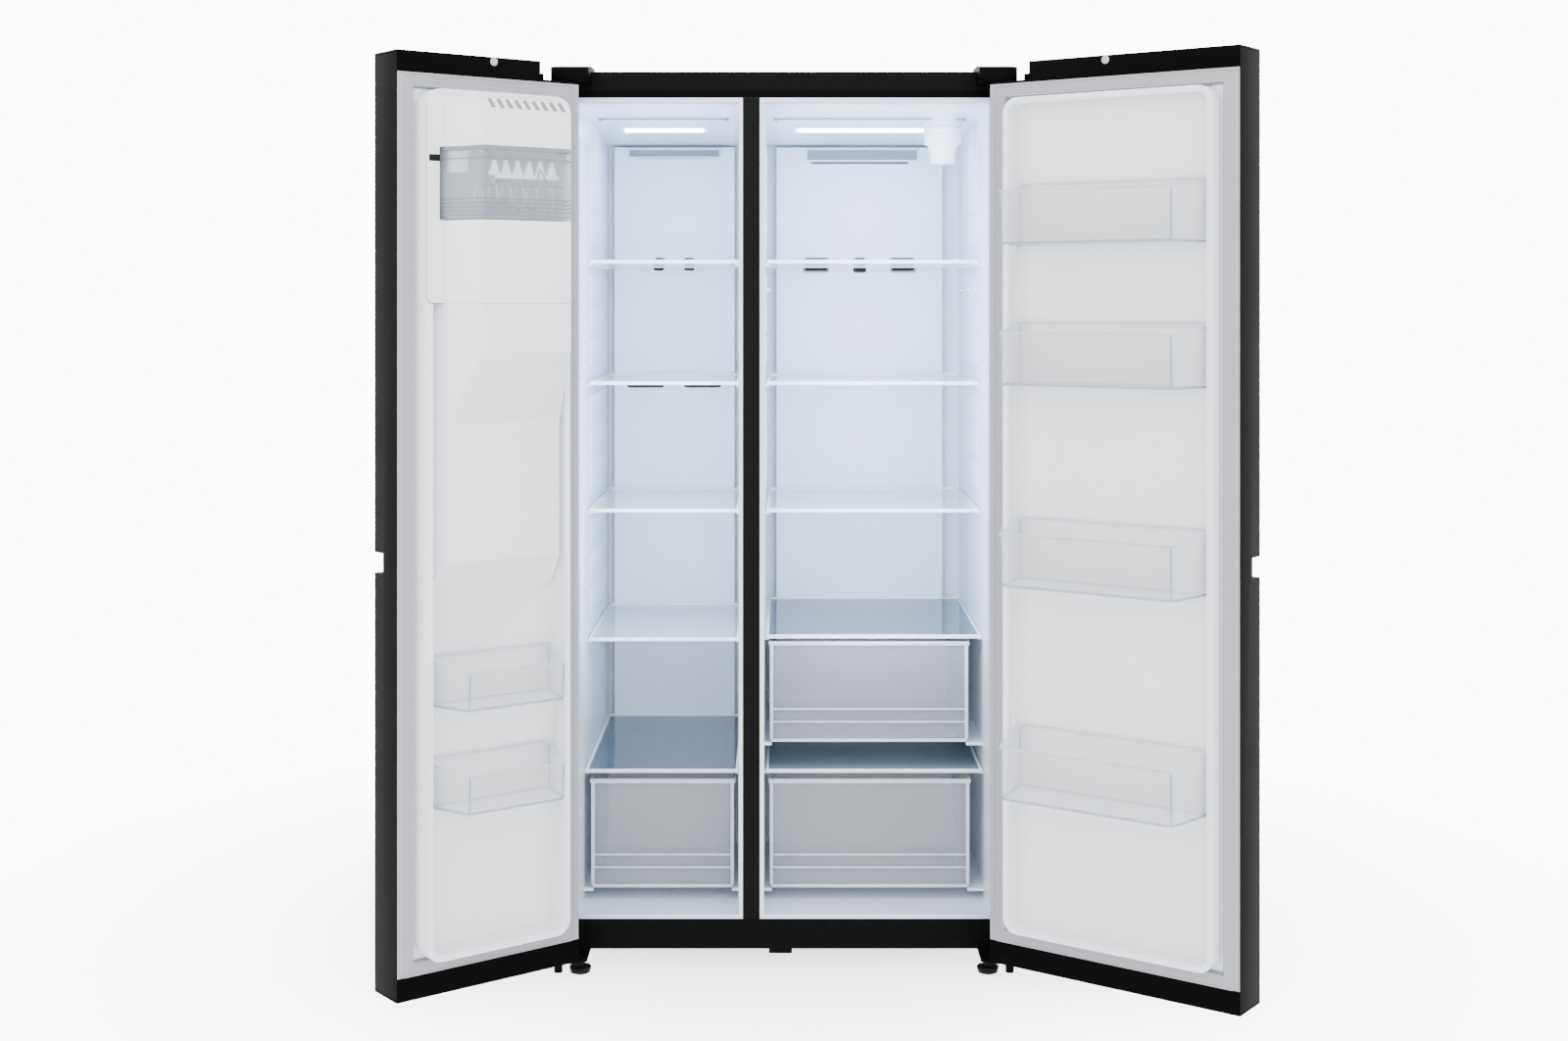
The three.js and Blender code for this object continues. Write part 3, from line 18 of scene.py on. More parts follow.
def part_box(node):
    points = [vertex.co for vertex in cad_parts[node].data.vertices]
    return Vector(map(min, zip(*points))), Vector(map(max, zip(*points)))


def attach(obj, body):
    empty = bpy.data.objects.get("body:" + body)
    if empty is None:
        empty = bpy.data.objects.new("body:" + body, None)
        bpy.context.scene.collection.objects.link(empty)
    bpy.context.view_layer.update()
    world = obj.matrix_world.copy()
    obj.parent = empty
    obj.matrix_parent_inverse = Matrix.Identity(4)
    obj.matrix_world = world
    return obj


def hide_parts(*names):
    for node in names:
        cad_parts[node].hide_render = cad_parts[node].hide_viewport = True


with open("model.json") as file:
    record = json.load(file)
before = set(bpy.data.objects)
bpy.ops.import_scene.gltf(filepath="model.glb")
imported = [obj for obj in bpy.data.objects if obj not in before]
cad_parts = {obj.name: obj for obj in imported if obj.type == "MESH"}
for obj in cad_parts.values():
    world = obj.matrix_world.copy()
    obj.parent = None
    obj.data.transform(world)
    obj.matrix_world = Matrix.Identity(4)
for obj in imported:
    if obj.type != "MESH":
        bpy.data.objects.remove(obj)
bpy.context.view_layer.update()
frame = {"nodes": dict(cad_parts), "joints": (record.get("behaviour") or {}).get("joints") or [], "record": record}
record = frame["record"]
nodes = frame["nodes"]
joints = {joint["name"]: joint for joint in frame["joints"]}

# %% [markdown]
# ## Where things are
#
# A piece on a door is easiest to think of with the door lying in front of you: so far from
# its hinge side, so far behind or in front of its inner face, so high. A *place* holds the
# matrix that turns such a position into the shared frame. The cabinet's own place is the
# plain frame. A door's place comes from its hinge: the pin's position, and the angle by
# which the door stands open, which is what the joint would turn back to close it.

# %% Places for the cabinet and both doors
pin_inset = 0.015        # hinge pin from the door's side
pin_depth = 0.050        # hinge pin in front of the door's inner face


class Place:
    """A piece's own coordinates, and the body that the piece rides on."""

    def __init__(self, body, matrix=None):
        self.body = body
        self.matrix = matrix or Matrix.Identity(4)
        self.back = self.matrix.inverted()

    def span(self, node):
        """Lowest and highest corner of a solid, in this place's coordinates."""
        corners = [self.back @ vertex.co for vertex in nodes[node].data.vertices]
        low = Vector([min(c[i] for c in corners) for i in range(3)])
        high = Vector([max(c[i] for c in corners) for i in range(3)])
        return low, high

    def on(self, body):
        """The same coordinates for a piece that rides on another body."""
        return Place(body, self.matrix)


def door_place(body, joint, side):
    pin = Vector(joint["pos_m"])
    pin.z = 0
    opened = -math.radians(joint["range_deg"][0]) * joint["axis"][2]
    turned = Matrix.Translation(pin) @ Matrix.Rotation(opened, 4, "Z") @ Matrix.Diagonal((side, 1, 1, 1))
    return Place(body, turned @ Matrix.Translation((-pin_inset, pin_depth, 0)))


cabinet = Place("cabinet")
left_door = door_place("left_door", joints["left_door_swing"], 1)
right_door = door_place("right_door", joints["right_door_swing"], -1)
doors = {"left": left_door, "right": right_door}
for side, place in doors.items():
    low, high = place.span(f"{side}_door_skin")
    print(side, "door is", round(high.x - low.x, 3), "m wide and", round(high.y - low.y, 3), "m thick")

# %% [markdown]
# ## Camera
#
# A tall cabinet is seen through a level camera so that its sides stay parallel, and the lens
# is shifted down to bring the feet into the frame instead of tilting the whole camera.

# %% Camera
def placed(name, data):
    """A new object in the scene."""
    made = bpy.data.objects.new(name, data)
    bpy.context.scene.collection.objects.link(made)
    return made


camera_height = 1.280
camera_distance = 4.4125
focal_length = 46.7
downward_shift = -0.138

lens = bpy.data.cameras.new("camera")
lens.lens = focal_length
lens.shift_y = downward_shift
camera = placed("camera", lens)
camera.location = (0, -camera_distance, camera_height)
camera.rotation_euler = (math.radians(90), 0, 0)
bpy.context.scene.camera = camera
print("camera stands", camera_distance, "m in front")

# %% [markdown]
# ## Shader arithmetic
#
# A finish is mostly arithmetic on masks and noises. Wrapping a socket in a small class lets
# that arithmetic be written the way it is thought: `mask * 0.5` adds a Math node by itself.
# Every other node comes from one method, which sets the node up and joins its sockets.

# %% The wire and the finish
class Wire:
    """One output socket. Arithmetic on it adds Math nodes."""

    def __init__(self, finish, socket):
        self.finish = finish
        self.socket = socket

    def math(self, operation, *values):
        return self.finish.add("ShaderNodeMath", {"operation": operation}, dict(enumerate(values)))

    def __add__(self, other):
        return self.math("ADD", self, other)

    def __radd__(self, other):
        return self.math("ADD", other, self)

    def __mul__(self, other):
        return self.math("MULTIPLY", self, other)

    def __lt__(self, other):
        return self.math("LESS_THAN", self, other)


class Finish:
    """A material made of wires around one Principled shader."""

    def __init__(self, name, surface):
        self.material = bpy.data.materials.new(name)
        self.material.use_nodes = True
        self.tree = self.material.node_tree
        self.tree.nodes.clear()
        self.shader = self.tree.nodes.new("ShaderNodeBsdfPrincipled")
        output = self.tree.nodes.new("ShaderNodeOutputMaterial")
        self.tree.links.new(self.shader.outputs[0], output.inputs[0])
        self.place = self.add("ShaderNodeTexCoord", output="Object")
        self.feed(surface)

    def join(self, socket, value):
        if isinstance(value, Wire):
            self.tree.links.new(value.socket, socket)
        else:
            socket.default_value = value

    def feed(self, surface):
        for socket, value in surface.items():
            self.join(self.shader.inputs[socket], value)

    def add(self, kind, settings=None, sockets=None, output=0):
        node = self.tree.nodes.new(kind)
        for setting, value in (settings or {}).items():
            setattr(node, setting, value)
        for socket, value in (sockets or {}).items():
            self.join(node.inputs[socket], value)
        return Wire(self, node.outputs[output])

    def noise(self, scale, detail=2, stretch=None):
        place = self.place
        if stretch:
            place = self.add("ShaderNodeVectorMath", {"operation": "MULTIPLY"}, {0: place, 1: stretch})
        return self.add("ShaderNodeTexNoise", sockets={"Vector": place, "Scale": scale, "Detail": detail})

    def mix(self, amount, first, second):
        """Two colours blended by a mask."""
        return self.add("ShaderNodeMix", {"data_type": "RGBA"}, {0: amount, 6: first, 7: second}, output=2)

    def along(self, axis):
        return self.add("ShaderNodeSeparateXYZ", sockets={0: self.place}, output=axis)

    def bump(self, height, distance, strength=1.0):
        sockets = {"Height": height, "Distance": distance, "Strength": strength}
        return self.add("ShaderNodeBump", sockets=sockets)


def gray(shade):
    return (shade, shade, shade, 1)


def dimmed(shade, share):
    """The same colour at a share of its brightness."""
    return tuple(channel * share for channel in shade[:3]) + (1,)


# %% [markdown]
# ## Painted steel
#
# The doors and the case are pre-painted sheet. The paint is nearly black and satin, with the
# faint orange peel of a sprayed coat, and it gathers a little dust-grey where light grazes it.
# A fine noise drives a shallow bump for the peel, and a broad one varies the roughness.

# %% Painted steel
paint_shadow = 0.82      # brightness of the darker patches


def painted_steel(name, shade):
    paint = Finish(name, {"Specular IOR Level": 0.04})
    broad = paint.noise(6)
    peel = paint.noise(900, 1)
    grain = paint.noise(2600, 1)
    paint.feed({
        "Base Color": paint.mix(broad, dimmed(shade, paint_shadow), shade),
        "Roughness": 0.50 + broad * 0.10,
        "Normal": paint.bump(peel + grain * 0.4, 0.00002, 0.5),
    })
    return paint


steel_shade = (0.0024, 0.0024, 0.0027, 1)
black_steel = painted_steel("black_steel", steel_shade)
front_shade = (0.0030, 0.0030, 0.0033, 1)
rail_shade = (0.0002, 0.0002, 0.0002, 1)

# %% [markdown]
# The cabinet's top rail carries two shades. Its lower band, where the door seals' magnets
# close on it, is a deeper black than the edge above. A mask on height makes that band.

# %% Two-tone rail
band_top = 1.7045
case_paint = painted_steel("case_paint", front_shade)
case_broad = case_paint.noise(6)
band_reach = 0.004       # how far behind the front plane the band runs
shell_low, shell_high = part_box("cabinet_shell")
near_front = case_paint.along("Y") < shell_low.y + band_reach
in_band = (case_paint.along("Z") < band_top) * near_front
case_tone = case_paint.mix(case_broad, dimmed(front_shade, paint_shadow), front_shade)
case_paint.feed({"Base Color": case_paint.mix(in_band, case_tone, rail_shade)})
print("magnet band starts", round(shell_high.z - band_top, 3), "m below the top")

# %% [markdown]
# ## Moulded plastics
#
# Black caps, hoods and feet come from spark-eroded moulds, which leave a fine matt grain.
# White liners are vacuum-formed from a glossy sheet that stretches, so they are smoother but
# gently wavy. Rubber is duller than either and picks up a soft mottling.

# %% Black and white plastics, and rubber
def moulded(name, shade, rough, grain_size, grain_depth, wave=0.0, shine=0.42):
    plastic = Finish(name, {"Specular IOR Level": shine})
    cloud = plastic.noise(4)
    grain = plastic.noise(grain_size, 1)
    height = grain * grain_depth
    if wave:
        height = height + plastic.noise(9, 1) * wave
    plastic.feed({
        "Base Color": plastic.mix(cloud, dimmed(shade, 0.965), shade),
        "Roughness": rough - 0.03 + cloud * 0.06,
        "Normal": plastic.bump(height, 1.0),
    })
    return plastic


black_plastic = moulded("black_plastic", (0.0006, 0.0006, 0.0007, 1), 0.42, 1800, 0.000012, 0, 0.03)
mullion_black = moulded("mullion_black", (0.0030, 0.0030, 0.0033, 1), 0.45, 1800, 0.000012, 0, 0.06)
soft_black = moulded("soft_black", (0.0035, 0.0035, 0.004, 1), 0.55, 1800, 0.000012, 0, 0.15)
white_liner = moulded("white_liner", (0.74, 0.81, 0.91, 1), 0.30, 1400, 0.000002, 0.00003)
door_white = moulded("door_white", (0.83, 0.845, 0.885, 1), 0.28, 1400, 0.000002, 0.00004)
ice_white = moulded("ice_white", (0.89, 0.895, 0.92, 1), 0.24, 1400, 0.000002)
gray_rubber = moulded("gray_rubber", (0.34, 0.345, 0.37, 1), 0.60, 700, 0.00001)
vent_gray = moulded("vent_gray", (0.20, 0.23, 0.27, 1), 0.45, 1500, 0.000008)
control_black = moulded("control_black", (0.0012, 0.0012, 0.0015, 1), 0.36, 1500, 0.0000005, 0, 0.05)
plug_gray = moulded("plug_gray", (0.42, 0.42, 0.43, 1), 0.40, 1500, 0.000008)

# %% [markdown]
# Insulating foam shows only where a cover is left off. It is a pale yellow froth with cells
# of about a millimetre, which a cell-like Voronoi bump gives.

# %% Foam
foam = Finish("insulation_foam", {"Specular IOR Level": 0.2, "Roughness": 0.9})
cells = foam.add("ShaderNodeTexVoronoi", sockets={"Vector": foam.place, "Scale": 700})
foam.feed({
    "Base Color": foam.mix(foam.noise(12), (0.80, 0.66, 0.33, 1), (0.86, 0.75, 0.45, 1)),
    "Normal": foam.bump(cells, 0.0006, 0.7),
})

# %% [markdown]
# ## Metals
#
# Hinges are zinc-plated, whose crystals make soft patches of light and dark. Coils and ice
# trays are drawn aluminium, with faint lines along the drawing direction, and the condenser's
# tube is copper that has darkened in places.

# %% Plated, drawn and tarnished metal
def metal(name, bright, dull, rough, scale, stretch):
    sheet = Finish(name, {"Metallic": 1.0})
    patch = sheet.noise(scale, 3, stretch)
    fine = sheet.noise(scale * 12, 1, stretch)
    sheet.feed({
        "Base Color": sheet.mix(patch, dull, bright),
        "Roughness": rough + patch * 0.15,
        "Normal": sheet.bump(fine, 0.00002, 0.5),
    })
    return sheet


zinc = metal("zinc", (0.62, 0.63, 0.65, 1), (0.40, 0.41, 0.43, 1), 0.32, 60, (1, 1, 1))
aluminium = metal("aluminium", (0.80, 0.81, 0.82, 1), (0.62, 0.63, 0.65, 1), 0.28, 40, (1, 6, 1))
copper = metal("copper", (0.72, 0.36, 0.20, 1), (0.38, 0.18, 0.10, 1), 0.35, 50, (1, 1, 1))

# %% [markdown]
# ## Clear plastic and glass
#
# A thin clear wall is almost invisible face on and shows at its edges, where you look along
# it. Layer Weight gives just that: how edge-on a surface stands. It drives the alpha, so no
# light has to be traced through two walls, and the reflections still ride on top.

# %% Clear plastic and glass
def clear(name, tint, faint, strong, rough, sweep=0.45):
    sheet = Finish(name, {"IOR": 1.5, "Specular IOR Level": 0.6})
    edge_on = sheet.add("ShaderNodeLayerWeight", sockets={"Blend": sweep}, output="Facing")
    cloud = sheet.noise(5, 1)
    sheet.feed({
        "Base Color": sheet.mix(cloud, dimmed(tint, 0.93), tint),
        "Roughness": rough + cloud * 0.04,
        "Alpha": faint + edge_on * (strong - faint),
        "Normal": sheet.bump(cloud, 0.0004, 0.3),
    })
    return sheet


basket_clear = clear("basket_clear", (0.74, 0.78, 0.83, 1), 0.06, 0.50, 0.08)
basket_edge = clear("basket_edge", (0.30, 0.34, 0.39, 1), 0.28, 0.80, 0.10)
basket_rim = clear("basket_rim", (0.72, 0.76, 0.80, 1), 0.30, 0.85, 0.10)
drawer_clear = clear("drawer_clear", (0.62, 0.68, 0.75, 1), 0.20, 0.60, 0.08)
drawer_edge = clear("drawer_edge", (0.86, 0.90, 0.94, 1), 0.62, 0.95, 0.10)
shelf_glass = clear("shelf_glass", (0.74, 0.83, 0.86, 1), 0.06, 0.60, 0.04, 0.35)
shelf_trim = clear("shelf_trim", (0.92, 0.95, 0.97, 1), 0.80, 0.98, 0.15)
cover_glass = clear("cover_glass", (0.060, 0.095, 0.145, 1), 0.68, 0.92, 0.05)
# The lower crisper cover is a lighter copy of the cover glass: painted light that makes up for the shade it sits
# in below the upper crisper.
low_cover_painted_light = clear("low_cover_painted_light", (0.22, 0.29, 0.37, 1), 0.55, 0.92, 0.05)
bucket_clear = clear("bucket_clear", (0.60, 0.68, 0.76, 1), 0.13, 0.60, 0.10)

# %% [markdown]
# ## Lamp lenses
#
# The ceiling lights are rows of small diodes behind a frosted lens. The lens glows almost
# evenly, a little stronger in the middle. It lights the compartment by itself.

# %% Lamp lens
lamp_strength = 26.0
lamp_lens = Finish("lamp_lens", {"Base Color": (0.9, 0.95, 1, 1), "Roughness": 0.4})
beads = lamp_lens.add("ShaderNodeTexWave", {"bands_direction": "X"},
                      {"Vector": lamp_lens.place, "Scale": 14, "Distortion": 0}, output="Fac")
lamp_lens.feed({
    "Emission Color": lamp_lens.mix(beads, (0.66, 0.82, 1, 1), (0.78, 0.90, 1, 1)),
    "Emission Strength": lamp_strength,
})

# %% [markdown]
# ## Dress the solids that stay
#
# Most solids already have the right shape, so they only need the finish that matches their
# slot in the record. A few differ from their slot, such as the case with its two-tone rail.

# %% Finish for each slot
slot_finish = {
    "black_steel": black_steel, "black_plastic": black_plastic, "white_liner": white_liner,
    "insulation_foam": foam, "gray_rubber": gray_rubber, "clear_plastic": drawer_clear,
    "shelf_glass": shelf_glass, "cover_glass": cover_glass, "zinc": zinc,
    "aluminium": aluminium, "copper": copper,
}
own_finish = {
    "cabinet_shell": case_paint, "left_door_liner": door_white, "right_door_liner": door_white,
    "ice_housing": ice_white, "ice_bucket": bucket_clear, "mullion_cover": mullion_black,
    "filter_cartridge": ice_white, "ice_maker": ice_white,
}
slot_of = {row["node"]: row["material_slot"] for row in record["subparts"]}
for name, node in nodes.items():
    chosen = own_finish.get(name) or slot_finish[slot_of[name]]
    node.data.materials.clear()
    node.data.materials.append(chosen.material)
print("finishes used:", len({node.data.materials[0].name for node in nodes.values()}))

# %% [markdown]
# ## A small workshop
#
# Thin moulded things are mostly rings: a tub is a ring that climbs the outside, turns over at
# the rim and comes down the inside, and a seal is a ring of one profile all the way round.
# So the workshop has outlines, which can be rounded and moved inwards, and a shape that skins
# one ring to the next. Every shape is a closed solid, so it can also be cut or printed.

# %% Outlines
def rectangle(x0, x1, y0, y1):
    return [(x0, y0), (x1, y0), (x1, y1), (x0, y1)]


def inset(corners, amount):
    """The same outline with every side moved inwards. Corners run anticlockwise."""
    moved = []
    count = len(corners)
    for i, here in enumerate(corners):
        here = Vector(here)
        into = (here - Vector(corners[i - 1])).normalized()
        out = (Vector(corners[(i + 1) % count]) - here).normalized()
        normals = Vector((-into.y, into.x)) + Vector((-out.y, out.x))
        moved.append(tuple(here + normals * (amount / (1 + into.dot(out)))))
    return moved


def rounded(corners, radius, steps=5):
    """The outline with each corner drawn as a curve that starts one radius before it."""
    points = []
    count = len(corners)
    for i, here in enumerate(corners):
        here = Vector(here)
        start = here + (Vector(corners[i - 1]) - here).normalized() * radius
        end = here + (Vector(corners[(i + 1) % count]) - here).normalized() * radius
        for step in range(steps + 1):
            t = step / steps
            points.append(start * (1 - t) ** 2 + here * 2 * t * (1 - t) + end * t ** 2)
    return points


def lying(points, height):
    return [Vector((x, y, height)) for x, y in points]


def standing(points, depth):
    return [Vector((x, depth, z)) for x, z in points]


def sideways(points, across):
    return [Vector((across, y, z)) for y, z in points]


def circle(middle, across, third, radius, sides):
    turns = [2 * math.pi * k / sides for k in range(sides)]
    return [middle + (across * math.cos(a) + third * math.sin(a)) * radius for a in turns]


# %% The shape
least_radius = 0.0008
crease_angle = math.radians(35)


class Shape:
    """Closed solids gathered in one place's coordinates, made into one piece at the end."""

    def __init__(self, place):
        self.place = place
        self.mesh = bmesh.new()

    def skin(self, rings, looped=False):
        rows = [[self.mesh.verts.new(point) for point in ring] for ring in rings]
        if looped:
            rows.append(rows[0])
        else:
            self.mesh.faces.new(rows[0])
            self.mesh.faces.new(rows[-1])
        for lower, upper in zip(rows, rows[1:]):
            for i in range(len(lower)):
                j = (i + 1) % len(lower)
                self.mesh.faces.new((lower[i], lower[j], upper[j], upper[i]))
        return self

    def bar(self, low, high, edge=0.001):
        size = Vector(high) - Vector(low)
        centre = (Vector(high) + Vector(low)) / 2
        made = bmesh.ops.create_cube(self.mesh, size=1, matrix=Matrix.LocRotScale(centre, None, size))
        edges = {one for vertex in made["verts"] for one in vertex.link_edges}
        bmesh.ops.bevel(self.mesh, geom=list(edges), offset=edge, segments=2, profile=0.5,
                        affect="EDGES", clamp_overlap=True)
        return self

    def rod(self, points, radius, sides=10):
        points = [Vector(point) for point in points]
        rings = []
        for i, here in enumerate(points):
            along = (points[min(i + 1, len(points) - 1)] - points[max(i - 1, 0)]).normalized()
            if rings:
                across = (across - along * across.dot(along)).normalized()
            else:
                across = along.orthogonal().normalized()
            rings.append(circle(here, across, along.cross(across), radius, sides))
        return self.skin(rings)

    def turned(self, centre, axis, profile, sides=32):
        """A lathe shape. The profile lists radius and distance along the axis."""
        axis = Vector(axis).normalized()
        across = axis.orthogonal().normalized()
        third = axis.cross(across)
        centre = Vector(centre)
        return self.skin([circle(centre + axis * distance, across, third, radius, sides)
                          for radius, distance in profile])

    def ring(self, corners, radius, inwards):
        return rounded(inset(corners, inwards), max(radius - inwards, least_radius))

    def frame(self, corners, radius, profile, lay=standing):
        """One profile of insets and levels all the way round an outline. It closes on itself."""
        rings = [lay(self.ring(corners, radius, inwards), level) for inwards, level in profile]
        return self.skin(rings, looped=True)

    def panel(self, corners, radius, low, high, edge=0.001, lay=standing):
        """A plate with a rounded outline and softened rims."""
        profile = [(edge, low), (0, low + edge), (0, high - edge), (edge, high)]
        if high - low <= 2 * edge:
            profile = [(0, low), (0, high)]
        return self.skin([lay(self.ring(corners, radius, inwards), level) for inwards, level in profile])

    def piece(self, name, finish, slot, replaced=()):
        self.mesh.transform(self.place.matrix)
        bmesh.ops.recalc_face_normals(self.mesh, faces=self.mesh.faces)
        data = bpy.data.meshes.new(name)
        self.mesh.to_mesh(data)
        self.mesh.free()
        data.materials.append(finish.material)
        data.shade_smooth()
        data.set_sharp_from_angle(angle=crease_angle)
        made = placed(name, data)
        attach(made, self.place.body)
        if replaced:
            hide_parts(*replaced)


# %% [markdown]
# ## Rounded edges on pressed and moulded solids
#
# No press or mould leaves a knife edge. A copy of the solid has its flat triangles merged into
# whole faces, and then only its sharp edges are bevelled. The bevel cuts inwards, so the piece
# keeps its size, and the hidden solid underneath still does the colliding.

# %% Soften a solid
weld_distance = 0.00001
flat_angle = math.radians(0.6)
sharp_angle = math.radians(28)


def softened(node, finish, width, segments=2, wanted=None, place=cabinet, body="cabinet"):
    shape = Shape(Place(body))
    shape.mesh.from_mesh(nodes[node].data)
    bmesh.ops.remove_doubles(shape.mesh, verts=shape.mesh.verts, dist=weld_distance)
    bmesh.ops.dissolve_limit(shape.mesh, angle_limit=flat_angle,
                             verts=shape.mesh.verts, edges=shape.mesh.edges)
    sharp = []
    for edge in shape.mesh.edges:
        if len(edge.link_faces) == 2 and edge.calc_face_angle() > sharp_angle:
            ends = [place.back @ vertex.co for vertex in edge.verts]
            if wanted is None or all(wanted(end) for end in ends):
                sharp.append(edge)
    bmesh.ops.bevel(shape.mesh, geom=sharp, offset=width, segments=segments, profile=0.5,
                    affect="EDGES", clamp_overlap=True)
    shape.piece(f"{node}_rounded", finish, slot_of[node], [node])
    print(node, "has", len(sharp), "edges rounded")


for side, place in doors.items():
    body = f"{side}_door"
    softened(f"{side}_door_liner", door_white, 0.003, 3, lambda end: end.y > 0.0005, place, body)
    softened(f"{side}_door_top_cap", black_plastic, 0.0012, body=body)
    softened(f"{side}_door_bottom_cap", black_plastic, 0.0012, body=body)
    softened(f"{side}_door_skin", black_steel, 0.0008, body=body)
    softened(f"top_hinge_cover_{side}", black_plastic, 0.0015)
    softened(f"foot_{side}", soft_black, 0.0012, body=f"foot_{side}")
softened("ice_housing", ice_white, 0.0035, 3, body="left_door")
softened("dispenser_lever", black_plastic, 0.0015, body="dispenser_lever")

# %% [markdown]
# ## Door seals
#
# A door seal is one soft extrusion: a rounded tube along the outer edge that holds a magnet
# strip, a pleated bellows that lets the tube reach the cabinet, and a thin lip that hides the
# joint with the liner. Each is a ring of its own profile. Outside the tube a flat flap of the
# same rubber covers the liner's flange out to the edge of the door.

# %% Seals
seal_width = 0.027
seal_radius = 0.010
tube_width = 0.0035
lip_width = 0.0025
pleats = 4
hem = 0.0006             # the flap stops this far from the flange's edge
flap_thickness = 0.0022
field_width = seal_width - tube_width - lip_width
pleat_width = field_width / pleats
lip_start = seal_width - lip_width
for side, place in doors.items():
    low, high = place.span(f"{side}_door_gasket")
    outline = rectangle(low.x, high.x, low.z, high.z)
    bottom = low.y
    tube = [(0, bottom), (0, high.y - 0.003), (0.0006, high.y - 0.0008), (0.0014, high.y),
            (tube_width - 0.0012, high.y), (tube_width, high.y - 0.0014), (tube_width, bottom)]
    field = [(tube_width, bottom)]
    for pleat in range(pleats):
        start = tube_width + pleat_width * pleat
        field.append((start + 0.0003, high.y - 0.0020))
        field.append((start + pleat_width * 0.80, high.y - 0.0016))
        field.append((start + pleat_width * 0.90, high.y - 0.0026))
    field.append((lip_start, bottom))
    lip = [(lip_start, bottom), (lip_start, bottom + 0.0080), (seal_width - 0.0008, bottom + 0.0070),
           (seal_width, bottom + 0.0040), (seal_width, bottom)]
    for part, profile, finish, replaced in (("tube", tube, gray_rubber, [f"{side}_door_gasket"]),
                                            ("bellows", field, gray_rubber, []), ("lip", lip, vent_gray, [])):
        Shape(place).frame(outline, seal_radius, profile).piece(
            f"{side}_seal_{part}", finish, "gray_rubber", replaced)
    flange_low, flange_high = place.span(f"{side}_door_liner")
    near = flange_low.x + hem
    far = flange_high.x - hem
    base = flange_low.z + hem
    top = flange_high.z - hem
    level = bottom + flap_thickness
    flap = Shape(place)
    for x0, x1, z0, z1 in ((near, low.x, base, top), (high.x, far, base, top),
                           (low.x, high.x, high.z, top), (low.x, high.x, base, low.z)):
        flap.bar((x0, bottom, z0), (x1, level, z1), 0.0004)
    flap.piece(f"{side}_seal_flap", gray_rubber, "gray_rubber")
    print(side, "seal is", round(high.z - low.z, 3), "m tall")

# %% [markdown]
# ## Glass shelves
#
# Each shelf is a tempered pane in a moulded frame. The frame's front rail is a clear bullnose
# that glows white where it gathers light, and thin side rails run back along the pane. The
# pane sits a little below the rails, so that a spill stays on it.

# %% Shelves and drawer covers
front_rail = 0.012
side_rail = 0.005
rail_height = 0.0085
pane_drop = 0.0025
pane_thickness = 0.004


def glass_shelf(node, body, glass, slot):
    low, high = cabinet.span(node)
    place = cabinet.on(body)
    pane_top = high.z - pane_drop
    pane = rectangle(low.x + side_rail / 2, high.x - side_rail / 2, low.y + front_rail * 0.7, high.y - 0.003)
    Shape(place).panel(pane, 0.003, pane_top - pane_thickness, pane_top, 0.0005, lying).piece(
        f"{node}_pane", glass, slot, [node])
    rails = Shape(place)
    base = high.z - rail_height
    behind = low.y + front_rail
    nose = [(low.y + 0.002, base), (behind, base + 0.002), (behind, high.z - 0.002),
            (low.y + 0.003, high.z), (low.y, high.z - 0.003), (low.y, base + 0.002)]
    nose_ring = rounded(nose, 0.0008, 2)
    rails.skin([sideways(nose_ring, low.x), sideways(nose_ring, high.x)])
    for x0, x1 in ((low.x, low.x + side_rail), (high.x - side_rail, high.x)):
        rails.bar((x0, behind, base), (x1, high.y, high.z - 0.001), 0.0012)
    rails.bar((low.x + side_rail, high.y - 0.006, base), (high.x - side_rail, high.y, high.z), 0.0012)
    rails.piece(f"{node}_frame", shelf_trim, slot)


for column, count in (("freezer", 4), ("fridge", 3)):
    for number in range(1, count + 1):
        glass_shelf(f"{column}_shelf_{number}", f"{column}_shelf_{number}", shelf_glass, "shelf_glass")
for cover in ("freezer_drawer_cover", "lower_crisper_cover", "upper_crisper_cover"):
    # The lower cover takes the lighter copy of the glass, with its painted light.
    glass = low_cover_painted_light if "lower" in cover else cover_glass
    glass_shelf(cover, "cabinet", glass, "cover_glass")

# %% [markdown]
# ## Tubs: drawers and door baskets
#
# A moulded tub has rounded corners, walls that lean out a little so that it leaves its mould,
# and a thicker rim that stops it flexing. One function makes them all. It climbs the outside,
# rolls over the rim and goes down the inside, and a height function lifts the rim where a
# basket has a taller end.

# %% Tub
def tub(shape, corners, low, high, wall, radius, draft, rim, lift=lambda x, y: 0):
    foot = 0.004
    rim_drop = 0.006
    section = [
        (rim + draft + foot, low, 0), (rim + draft, low + foot, 0), (rim, high - rim_drop, 1),
        (0.0006, high - rim_drop + 0.001, 1), (0, high - 0.002, 1), (0.0012, high, 1),
        (rim + wall - 0.0006, high, 1), (rim + wall, high - 0.0015, 1),
        (rim + wall + draft, low + foot + wall, 0), (rim + wall + draft + foot, low + wall, 0),
    ]
    rings = []
    for inwards, height, lifted in section:
        ring = rounded(inset(corners, inwards), max(radius - inwards * 0.5, 0.004), 6)
        rings.append([Vector((x, y, height + lifted * lift(x, y))) for x, y in ring])
    return shape.skin(rings)


# %% [markdown]
# ## Drawers
#
# A drawer's front shows more than a box: bright ribs down both corners, a rolled top edge,
# and a shallow ledge low on the front that stiffens it and takes the fingers. The ribs are
# thicker plastic, so they carry a brighter, denser finish than the walls.

